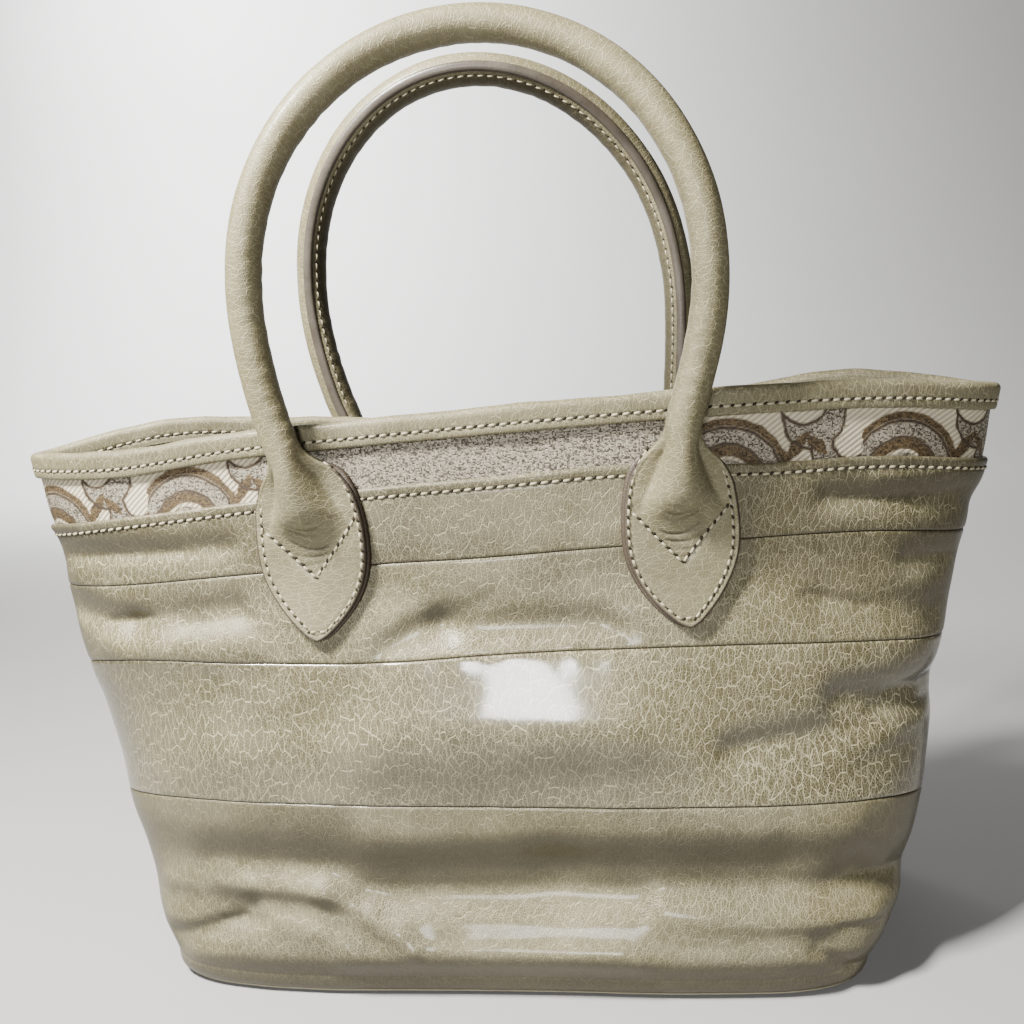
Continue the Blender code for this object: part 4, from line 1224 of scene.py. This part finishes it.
def blade(along, turn):
    """Across and up of the leaf's section, its rounded edges and the tongue's swell."""
    even = np.where(turn <= math.pi, 1 - 2 * turn / math.pi, 2 * turn / math.pi - 3)
    share = 0.45 * even + 0.55 * np.cos(turn)
    width = smooth(along, LEAF["along"], LEAF["width"]) * LEAF_WIDTH / 2
    across = width[:, None] * share
    round_off = np.clip((np.abs(across) - width[:, None] + EDGE_ROUND) / EDGE_ROUND, 0, 1)
    on_top = np.sin(turn) > 1e-6
    top = LEAF_THICKNESS - 0.8 * EDGE_ROUND * (1 - np.sqrt(1 - round_off ** 2))
    spread = smooth(along, TONGUE["along"], TONGUE["spread"]) * ROLL
    height = smooth(along, TONGUE["along"], TONGUE["height"]) * (HANDLE_DIAMETER - LEAF_THICKNESS)
    bell = smooth(along, TONGUE["along"], TONGUE["bell"])
    swell = np.clip(1 - (across / spread[:, None]) ** 2, 0, 1) ** bell[:, None] * height[:, None]
    return across, np.where(on_top, top + swell, 0.0003 * round_off), on_top, width


def v_distance(along, across):
    """Signed distance to the stitched V, positive above it, in metres."""
    slope = V_HALF / ((V_END - V_TIP) * LEAF_LENGTH)
    line = np.abs(across) / slope + V_TIP * LEAF_LENGTH
    return (along * LEAF_LENGTH - line) * math.cos(math.atan(1 / slope))


def leaf_margin(along, across, width):
    """Distance of a point in from the leaf's outline."""
    lean = np.gradient(width, along * LEAF_LENGTH + 1e-9 * np.arange(len(along)))[:, None]
    return (width[:, None] - np.abs(across)) / np.sqrt(1 + np.minimum(np.abs(lean), 3.0) ** 2)


def handle_slots(along, free, across):
    """Material of every face: 0 on the tongue and the roll, 1 below the V and on both caps."""
    flat = (v_distance(along[:, None], across) < 0) & (along[:, None] < 0.9) & (free[:, None] < 1)
    return np.concatenate((flat[:-1].ravel().astype(int), (1, 1)))


def gathers(along, across):
    """1 in the valleys of the wrinkles above the V: s - 0.045 a² runs in steps of GATHER_STEP mm."""
    a, s = across * 1e3, along[:, None] * LEAF_LENGTH * 1e3 + 0 * across
    bend = s - 0.045 * a * a + 0.9 * hills(np.stack((a / 9, s / 6, s * 0), -1), 1.0, 41)
    phase = np.abs(np.mod(bend / GATHER_STEP, 1.0) - 0.5)
    uneven = hills(np.stack((a / 8, bend / GATHER_STEP, s * 0), -1), 1.0, 42)
    strength = np.clip(0.60 + 0.7 * uneven, 0.0, 1.2)
    to_v = v_distance(along[:, None], across)
    zone = ease(to_v, 0.0002, 0.0016) * (1 - ease(along[:, None], 0.56, 0.68))
    return bump(phase, 0.0, 0.17) * strength * zone * (1 - ease(np.abs(a), 5.0, 8.0))


def leaf_relief(along, across, width, swell_side):
    """Groove of both stitch lines, step of the tongue and its cross wrinkles."""
    to_v = v_distance(along[:, None], across)
    above = ease(to_v, -0.0004, 0.0004) * ease(V_END + 0.06 - along[:, None], 0.0, 0.05)
    groove = bump(to_v, 0.0, 0.0006) * ease(V_END + 0.02 - along[:, None], 0.0, 0.02)
    rim = leaf_margin(along, across, width)
    perimeter = bump(rim, PERIMETER_INSET, 0.0005) * ease(0.93 - along[:, None], 0.0, 0.05)
    return (-0.00030 * above - 0.00025 * groove - 0.00022 * perimeter
            - GATHER_DEEP * gathers(along, across)) * swell_side


print("leaf: V from", round(V_TIP * LEAF_LENGTH * 1e3, 1), "mm above the tip")

# %% Handle grids


def make_handle_grid(face):
    """Rows of blade or circle sections; lift blends one into the other."""
    side, path, along, free, across_axis, normal = handle_frame(face)
    turn = np.arange(AROUND) * 2 * math.pi / AROUND
    lift = np.where(free > 0, 1.0, smooth(along, LEAF["along"], LEAF["lift"]))
    across, rise, on_top, width = blade(along, turn)
    relief = np.zeros(across.shape)
    for part in (slice(0, LEAF_ROWS), slice(len(along) - LEAF_ROWS, len(along))):
        relief[part] = leaf_relief(along[part], across[part], width[part], on_top[None, :])
    rise = rise + relief * (1 - lift)[:, None]
    x = path[:, None, 0] + across * across_axis[:, None, 0]
    z = path[:, None, 2] + across * across_axis[:, None, 2]
    flat = face_point(side, x, z, STACK + rise)
    run = np.concatenate(([0], np.cumsum(np.linalg.norm(np.diff(path, axis=0), axis=1))))
    inner_turn = 0.0 if face == "front" else math.pi
    inward = 0.5 + 0.5 * np.cos(turn - inner_turn)[None, :]
    ring_place = np.stack(np.broadcast_arrays(run[:, None] / 0.0023, np.cos(turn)[None, :] * 0.9,
                                              np.sin(turn)[None, :] * 0.9), -1)
    wrinkle = hills(ring_place, 1.0, 51) * 0.00006 * (0.25 + inward) + hills(
        ring_place * (0.12, 1, 1), 1.0, 52) * 0.00010
    radius = ROLL + wrinkle * free[:, None]
    spokes = (np.cos(turn)[None, :, None] * across_axis[:, None]
              + np.sin(turn)[None, :, None] * normal[:, None])
    circle = path[:, None] + radius[..., None] * spokes
    points = circle * lift[:, None, None] + flat * (1 - lift)[:, None, None]
    from_edge = leaf_margin(along, across, width)
    paint = np.where(on_top[None, :], 1 - ease(from_edge, 0.0006, 0.0011), 1.0)
    paint = paint * (1 - ease(lift, 0.05, 0.3))[:, None]
    # Painted shade: the tongue above the V, the valleys of its gathers and the roll's side towards the bag's
    # middle are darkened
    above_v = ease(v_distance(along[:, None], across), -0.0002, 0.0006)
    above_v = above_v * (1 - ease(along[:, None], 0.50, 0.66))
    low = 0.15 * above_v + 0.8 * gathers(along, across) * (free[:, None] < 1)
    gather_shade = np.where(on_top[None, :], low, 0.0) * (1 - lift)[:, None]
    inner_side_shade = ease(np.cos(turn - inner_turn), 0.25, 0.95)[None, :] * ease(lift, 0.4, 1.0)[:, None]
    wrinkle = np.clip(gather_shade + INNER_SHADE[face] * inner_side_shade, 0, 1)
    rise_step = np.linalg.norm(np.diff(points, axis=1), axis=2)
    girth_run = np.concatenate((np.zeros((len(path), 1)), np.cumsum(rise_step, axis=1)), axis=1)
    girth_run = girth_run - girth_run[:, AROUND // 4:AROUND // 4 + 1]
    uv = np.stack(np.broadcast_arrays(run[:, None], girth_run), -1)
    piece = add_piece("roll_" + face, points, grid_faces(len(path), AROUND, False, True),
                      [roll_leather, leaf_leather], uv=uv,
                      caps=(np.arange(AROUND)[::-1], np.arange(AROUND) + (len(path) - 1) * AROUND),
                      slots=handle_slots(along, free, across), paint=paint, wrinkle=wrinkle)
    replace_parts(piece, "handle_" + face)
    print(piece.name, "%.0f mm from tip to tip," % (run[-1] * 1e3), len(path) * AROUND, "quads")

# %% [markdown]
# The handle's leather is the same hide, but it was wrapped wet and is bent every day, so
# its net has turned into fine lines across the roll. The handle's UV map runs along the
# roll, so the long creases of the net run across it by themselves.

# %% Wrap both handles
roll_leather = leather("roll_leather", (0.126, 0.111, 0.059), (0.080, 0.071, 0.037), (7.9, 5.3),
                       1150.0, 1.0, 0.12, 0.42, 0.50, 0.05, relief=0.00010)
for face in ("front", "back"):
    make_handle_grid(face)

# %% [markdown]
# ## Tabs
# Under each leaf lies a backing tab of the same outline, a hair larger. Its painted edge
# is what makes the leaf look thick.

# %% Tabs
TAB_AROUND, TAB_ROUND = 48, 0.0006


def leaf_place(face, leg, along, across, lift):
    """Point over the wall from the share along the leaf and the distance across it."""
    side = -1.0 if face == "front" else 1.0
    way = -1.0 if leg == "left" else 1.0
    z = LEAF_FOOT_HEIGHT + along * LEAF_LENGTH
    x = way * leg_reach(face + "_" + leg, z)
    lean = way * (leg_reach(face + "_" + leg, z + 1e-4) - leg_reach(face + "_" + leg, z - 1e-4)) / 2e-4
    tilt = np.hypot(1.0, lean)
    return face_point(side, x + across / tilt, z - across * lean / tilt, lift)


def make_tab(face, leg):
    """Flat blade between the wall and the leaf, with rounded, painted edges."""
    along = np.concatenate((np.linspace(0, 0.12, 22), np.linspace(0.13, 0.93, 80)))
    turn = np.arange(TAB_AROUND) * 2 * math.pi / TAB_AROUND
    even = np.where(turn <= math.pi, 1 - 2 * turn / math.pi, 2 * turn / math.pi - 3)
    share = 0.62 * even + 0.38 * np.cos(turn)
    width = smooth(along, LEAF["along"], LEAF["width"]) * LEAF_WIDTH / 2 + TAB_MARGIN
    width = width * np.sqrt(1 - 0.97 * np.clip((along - 0.78) / 0.15, 0, 1) ** 2)
    across = width[:, None] * share
    round_off = np.clip((np.abs(across) - width[:, None] + TAB_ROUND) / TAB_ROUND, 0, 1)
    dome = 1 - np.sqrt(1 - round_off ** 2)
    top = np.sin(turn)[None, :] > 0
    lift = GAP + np.where(top, TAB_THICKNESS - 0.0005 * dome, 0.0003 * dome)
    points = leaf_place(face, leg, along[:, None] - TAB_MARGIN / LEAF_LENGTH, across, lift)
    faces = grid_faces(len(along), TAB_AROUND, False, True)
    foot = np.arange(TAB_AROUND)
    caps = [foot[::-1], foot + (len(along) - 1) * TAB_AROUND]
    if face == "back":
        faces, caps = faces[:, ::-1], [cap[::-1] for cap in caps]
    uv = np.stack(np.broadcast_arrays(along[:, None] * LEAF_LENGTH, across), -1)
    piece = add_piece("tab_leather_%s_%s" % (face, leg), points, faces, [leaf_leather], caps=caps, uv=uv,
                      paint=np.ones(across.shape))
    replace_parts(piece, "tab_%s_%s" % (face, leg))
    print(piece.name, "%.1f mm wide" % (across.max() * 2e3))


for face in ("front", "back"):
    for leg in ("left", "right"):
        make_tab(face, leg)

# %% [markdown]
# ## Seam along each handle
# The wrap's two edges meet on the side that faces the middle of the bag. They are
# trimmed together, painted and burnished into a flat brown-grey ridge.

# %% Handle seams
SEAM_HALF, SEAM_RISE = 0.0019, 0.0009
SEAM_PROFILE = np.array(((-1.0, -1.2), (-1.0, -0.2), (-0.88, 0.45), (-0.6, 0.85), (-0.2, 1.0),
                         (0.2, 1.0), (0.6, 0.85), (0.88, 0.45), (1.0, -0.2), (1.0, -1.2)))


def make_handle_seam(face):
    """A low rounded bar along the roll, on the side turned to the middle plane."""
    _, path, along, free, across_axis, normal = handle_frame(face)
    keep = np.flatnonzero((free > 0) | (along > 0.97))
    path, across_axis, normal = path[keep], across_axis[keep], normal[keep]
    out = ROLL + SEAM_PROFILE[:, 1] * SEAM_RISE
    points = (path[:, None] + (SEAM_PROFILE[:, 0] * SEAM_HALF)[None, :, None] * across_axis[:, None]
              - out[None, :, None] * normal[:, None])
    count = len(SEAM_PROFILE)
    piece = add_piece("handle_seam_" + face, points, grid_faces(len(path), count, False, True), [edge_paint],
                      caps=(np.arange(count)[::-1], np.arange(count) + (len(path) - 1) * count))
    print(piece.name, len(path), "rows")


edge_paint, tree, shader = new_material("edge_paint", Coat_Weight=0.15, Coat_Roughness=0.3)
worn, specks = object_noise(tree, 60.0, 4.0, 0.65), object_noise(tree, 900.0)
hue = blend(tree, ramp(tree, worn, 0.35, 0.75), (0.049, 0.040, 0.030, 1), (0.077, 0.064, 0.049, 1))
finish_surface(tree, shader, hue, ramp(tree, worn, 0.3, 0.7, 0.38, 0.52), specks, 0.00008)
for face in ("front", "back"):
    make_handle_seam(face)

# %% [markdown]
# ## Stitches
# A row is laid out at the pitch measured on the bag. Every stitch is one small bowed
# capsule, thick in the middle and sinking into a hole at each end. All stitches of a row
# are one mesh, made by placing one template many times with array arithmetic.

# %% Stitches
PITCH, LEAF_PITCH, THREAD_RADIUS = 0.0037, 0.0034, 0.00045
STITCH = {
    "along": np.array((-1.0, -0.86, -0.5, 0.0, 0.5, 0.86, 1.0)),
    "thickness": np.array((0.30, 0.78, 1.0, 1.0, 1.0, 0.78, 0.30)),
}
STITCH_SHARE, STITCH_SLANT, STITCH_BOW, STITCH_SUNK = 0.68, 0.10, 0.00042, 0.00028
HOLE_SIZES, HOLE_DEEP, HOLE_PROUD = (2.1, 1.25), 0.0005, 0.00016
SEAM_THREAD_RADIUS = 0.0003


def thread_material():
    """Waxed linen thread, a little soiled in patches."""
    made, tree, shader = new_material("waxed_thread")
    fuzz, soil = object_noise(tree, 2600.0, 2.0, 0.6), object_noise(tree, 70.0)
    hue = blend(tree, ramp(tree, soil, 0.3, 0.7), (0.362, 0.323, 0.223, 1), (0.262, 0.231, 0.154, 1))
    finish_surface(tree, shader, hue, 0.6, fuzz, 0.00012)
    return made


def hole_shade_material():
    """Painted shade of the punched holes: a dark plug stands for the shadow in each hole."""
    made, tree, shader = new_material("stitch_hole_shade", Specular_IOR_Level=0.1)
    hole_mottle = object_noise(tree, 1800.0, 2.0, 0.6)
    finish_surface(tree, shader, blend(tree, hole_mottle, (0.012, 0.010, 0.007, 1), (0.035, 0.029, 0.020, 1)),
                   0.9, hole_mottle, 0.00005)
    return made


thread, hole = thread_material(), hole_shade_material()
print("materials:", thread.name, "and", hole.name)

# %% One row of stitches


def resample(points, pitch, closed=False):
    """Points at equal steps, close to the pitch, along a polyline, with their tangents."""
    if closed:
        points = np.concatenate((points, points[:1]))
    run = np.concatenate(([0], np.cumsum(np.linalg.norm(np.diff(points, axis=0), axis=1))))
    count = max(2, int(round(run[-1] / pitch)))
    middle = (np.arange(count) + 0.5) * run[-1] / count
    at = np.stack([np.interp(middle, run, points[:, k]) for k in range(3)], -1)
    ahead = np.stack([np.interp(middle + 2e-4, run, points[:, k]) for k in range(3)], -1)
    behind = np.stack([np.interp(middle - 2e-4, run, points[:, k]) for k in range(3)], -1)
    return at, unit(ahead - behind), middle / run[-1]


def add_copies(name, points, made):
    """One mesh of many capped tubes; points has the shape (copies, rings, sides, 3)."""
    count, rings, sides = points.shape[:3]
    first = np.arange(count) * rings * sides
    faces = (grid_faces(rings, sides, False, True)[None] + first[:, None, None]).reshape(-1, 4)
    around_tube = np.arange(sides)
    caps = [around_tube[::-1] + k for k in first] + [around_tube + (rings - 1) * sides + k for k in first]
    add_piece(name, points, faces, [made], caps=caps)


def sew(name, points, normals, pitch=PITCH, closed=False, thick=THREAD_RADIUS):
    """Bowed capsules along a line: middle + length·t + height·(1 − t²) + radius·(cos, sin)."""
    at, tangent, share = resample(points, pitch, closed)
    fine = np.linspace(0, 1, len(points))
    up_dir = unit(np.stack([np.interp(share, fine, normals[:, k]) for k in range(3)], -1))
    across = unit(np.cross(up_dir, tangent))
    tangent = unit(tangent + STITCH_SLANT * across)
    across = unit(np.cross(up_dir, tangent))
    t, fat = STITCH["along"], STITCH["thickness"] * thick
    ring_turn = np.arange(6) * math.pi / 3
    centre = (at[:, None] + tangent[:, None] * (t * pitch * STITCH_SHARE / 2)[None, :, None]
              + up_dir[:, None] * ((1 - t ** 2) * STITCH_BOW - STITCH_SUNK)[None, :, None])
    body = (centre[:, :, None] + across[:, None, None] * (np.cos(ring_turn) * fat[:, None])[None, :, :, None]
            + up_dir[:, None, None] * (np.sin(ring_turn) * fat[:, None])[None, :, :, None])
    add_copies(name, body, thread)
    # Holes: small dark plugs whose colour is the painted shade inside a punched hole
    spot = (at + tangent * pitch * 0.5)[:, None]
    rim = np.arange(8) * math.pi / 4
    lean = unit(tangent + 0.45 * across)
    flank = np.cross(up_dir, lean)
    disc = (spot + lean[:, None] * (np.cos(rim) * thick * HOLE_SIZES[0])[None, :, None]
            + flank[:, None] * (np.sin(rim) * thick * HOLE_SIZES[1])[None, :, None])
    low = disc - up_dir[:, None] * HOLE_DEEP
    top = spot + (disc - spot) * 0.8 + up_dir[:, None] * HOLE_PROUD
    add_copies(name + "_holes", np.stack((low, top), axis=1), hole)
    return len(at)

# %% [markdown]
# The rows run round the rim on both faces of the binding, along the folded edge of the
# top strip, round every leaf and along its V, and beside each handle's seam.

# %% Rows of stitches


def around(point):
    """Points and outward normals of point(angle) all the way round, from two offsets."""
    a = np.linspace(0, 2 * math.pi, 1601)[:-1]
    here, out = point(a, 0.0), point(a, 0.0005)
    return here, unit(out - here)


here, out = around(lambda a, lift: binding_point(a, -0.00022 + lift, BINDING_STITCH_UP))
stitches = sew("stitches_rim_outside", here, out, closed=True)
here, out = around(lambda a, lift: binding_point(a, 0.00022 - BINDING_INNER - lift, BINDING_STITCH_UP))
stitches += sew("stitches_rim_inside", here, out, closed=True)
here, out = around(lambda a, lift: wall(a, level_height("strip_edge", a) - TOP_STITCH_DOWN, 0.0,
                                        lift - 0.00005))
stitches += sew("stitches_top_strip", here, out, closed=True)

# %% Stitches of the leaves


def perimeter_line():
    """Leaf outline moved in by PERIMETER_INSET, as (share along, distance across)."""
    along = np.concatenate((np.linspace(0.90, 0.10, 90), np.linspace(0.09, 0.0, 40)))
    width = smooth(along, LEAF["along"], LEAF["width"]) * LEAF_WIDTH / 2
    right_half = np.stack((width, along * LEAF_LENGTH), -1)
    outline = np.concatenate((right_half, right_half[::-1] * (-1, 1)))
    tangent = unit(np.gradient(outline, axis=0))
    inward = np.stack((-tangent[:, 1], tangent[:, 0]), -1)
    inward *= np.sign(np.sum(inward * (np.array((0.0, LEAF_LENGTH / 2)) - outline), axis=1))[:, None]
    moved = outline + inward * PERIMETER_INSET
    on_right = np.arange(len(moved)) < len(moved) // 2
    keep = (moved[:, 1] > PERIMETER_INSET * 1.3) & np.where(on_right, moved[:, 0] > 0, moved[:, 0] < 0)
    return moved[keep]


def leaf_surface(along, across):
    """Height of the leaf's top face over the wall, swell included."""
    spread = smooth(along, TONGUE["along"], TONGUE["spread"]) * ROLL
    height = smooth(along, TONGUE["along"], TONGUE["height"]) * (HANDLE_DIAMETER - LEAF_THICKNESS)
    bell = smooth(along, TONGUE["along"], TONGUE["bell"])
    return STACK + LEAF_THICKNESS + np.clip(1 - (across / spread) ** 2, 0, 1) ** bell * height


def sew_leaf(face, leg):
    """The perimeter row and the V row of one leaf."""
    line = perimeter_line()
    along, across = line[:, 1] / LEAF_LENGTH, line[:, 0]
    lift = leaf_surface(along, across) - 0.00013
    here = leaf_place(face, leg, along, across, lift)
    out = unit(leaf_place(face, leg, along, across, lift + 0.0005) - here)
    count = sew("stitches_leaf_%s_%s" % (face, leg), here, out, pitch=LEAF_PITCH)
    share = np.linspace(-1, 1, 81)
    along = V_TIP + (V_END - V_TIP) * np.abs(share)
    across = V_HALF * share
    lift = leaf_surface(along, across) - 0.00016
    here = leaf_place(face, leg, along, across, lift)
    out = unit(leaf_place(face, leg, along, across, lift + 0.0005) - here)
    return count + sew("stitches_v_%s_%s" % (face, leg), here, out, pitch=LEAF_PITCH)


for face in ("front", "back"):
    for leg in ("left", "right"):
        stitches += sew_leaf(face, leg)

# %% Stitches of the handles


def sew_handle(face):
    """One row beside the handle's seam, on the side of the loop's inside."""
    _, path, _, free, across_axis, normal = handle_frame(face)
    keep = np.flatnonzero(free > 0)[8:-8]
    way = 1.0 if face == "front" else -1.0
    spread = math.radians(34)
    out = unit(-normal[keep] * math.cos(spread) + way * across_axis[keep] * math.sin(spread))
    line = path[keep] + out * (ROLL + 0.00005)
    return sew("stitches_handle_" + face, line, out, thick=SEAM_THREAD_RADIUS)


for face in ("front", "back"):
    stitches += sew_handle(face)
print(stitches, "stitches")

# %% [markdown]
# ## Sole
# The sole is a flat panel that hardly shows, so the CAD solid keeps its place and only
# gets a matt leather of its own.

# %% Sole
sole_leather, tree, shader = new_material("plain_sole_leather")
grain = object_noise(tree, 700.0, 3.0, 0.6)
finish_surface(tree, shader, blend(tree, grain, (0.16, 0.145, 0.10, 1), (0.24, 0.22, 0.15, 1)), 0.6, grain,
               0.0001)
sole = frame["nodes"]["base_panel"]
sole.data.materials.clear()
sole.data.materials.append(sole_leather)
print("sole keeps its CAD mesh,", len(sole.data.polygons), "faces")

# %% [markdown]
# ## Stage and light
# The floor is one pale sweep that curves up far behind the bag. The key light stands high
# at the left of the camera and is small enough to draw the handles' shadows. A small
# panel over the camera gives the sharp shine on the belly and on the lower ridge, and a
# wide one lights the far wall of the stage.

# %% Stage
STAGE_FRONT, STAGE_BEND, STAGE_ROUND, STAGE_TOP, STAGE_HALF = -3.0, 1.2, 0.8, 3.5, 4.0
stage_material, tree, shader = new_material("pale_stage", Roughness=0.85)
mottle = object_noise(tree, 2.0)
finish_surface(tree, shader, blend(tree, mottle, (0.275, 0.272, 0.268, 1), (0.300, 0.297, 0.293, 1)), 0.85,
               mottle, 0.0001)
turn = np.linspace(0, math.pi / 2, 24)
profile = np.concatenate((
    ((STAGE_FRONT, 0.0), (STAGE_BEND, 0.0)),
    np.stack((STAGE_BEND + STAGE_ROUND * np.sin(turn), STAGE_ROUND - STAGE_ROUND * np.cos(turn)), -1)[1:],
    ((STAGE_BEND + STAGE_ROUND, STAGE_TOP),)))
sides = np.array((-STAGE_HALF, STAGE_HALF))
sweep = np.stack(np.broadcast_arrays(sides[None, :], profile[:, :1], profile[:, 1:]), -1)
floor = add_piece("floor_sweep", sweep, grid_faces(len(profile), 2, False, False), [stage_material])
floor.parent = None
del floor["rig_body"]
floor["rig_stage"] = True
print("stage", len(profile), "rows deep")

# %% Lights


def add_light(name, azimuth, elevation, distance, size, power, colour=(1.0, 1.0, 1.0),
              target=(0.0, 0.0, 0.12)):
    """Square panel that faces the target; azimuth 0 is the front, negative is left."""
    a, e = math.radians(azimuth), math.radians(elevation)
    back = np.array((math.sin(a) * math.cos(e), -math.cos(a) * math.cos(e), math.sin(e)))
    data = bpy.data.lights.new(name, "AREA")
    data.shape, data.size, data.energy, data.color = "SQUARE", size, power, colour
    lamp = bpy.data.objects.new(name, data)
    side = unit(np.cross((0.0, 0.0, 1.0), back))
    top = np.cross(back, side)
    place = np.array(target) + back * distance
    lamp.matrix_world = Matrix([(side[i], top[i], back[i], place[i]) for i in range(3)] + [(0, 0, 0, 1)])
    bpy.context.collection.objects.link(lamp)
    print(name, "at", np.round(place, 2))


add_light("key", -45, 58, 0.64, 0.13, 33.0, (1.0, 0.97, 0.91), target=(-0.10, 0.0, 0.15))
add_light("over_camera", -4, 18.5, 1.0, 0.19, 7.2)
add_light("backdrop", -32, 30, 1.1, 0.8, 130.0, target=(-0.3, 2.0, 0.5))
world = bpy.data.worlds.new("studio")
bpy.context.scene.world = world
world.use_nodes = True
sky = world.node_tree.nodes["Background"]
sky.inputs["Color"].default_value = (0.95, 0.95, 0.95, 1.0)
sky.inputs["Strength"].default_value = 0.02

# %% [markdown]
# ## Size of the bag
# The finished bag is meant to fill the CAD model's box; the bag's own box is printed in millimetres.

# %% Finish
low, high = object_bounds()
print("box in mm:", np.round((np.array(high) - np.array(low)) * 1e3, 1))
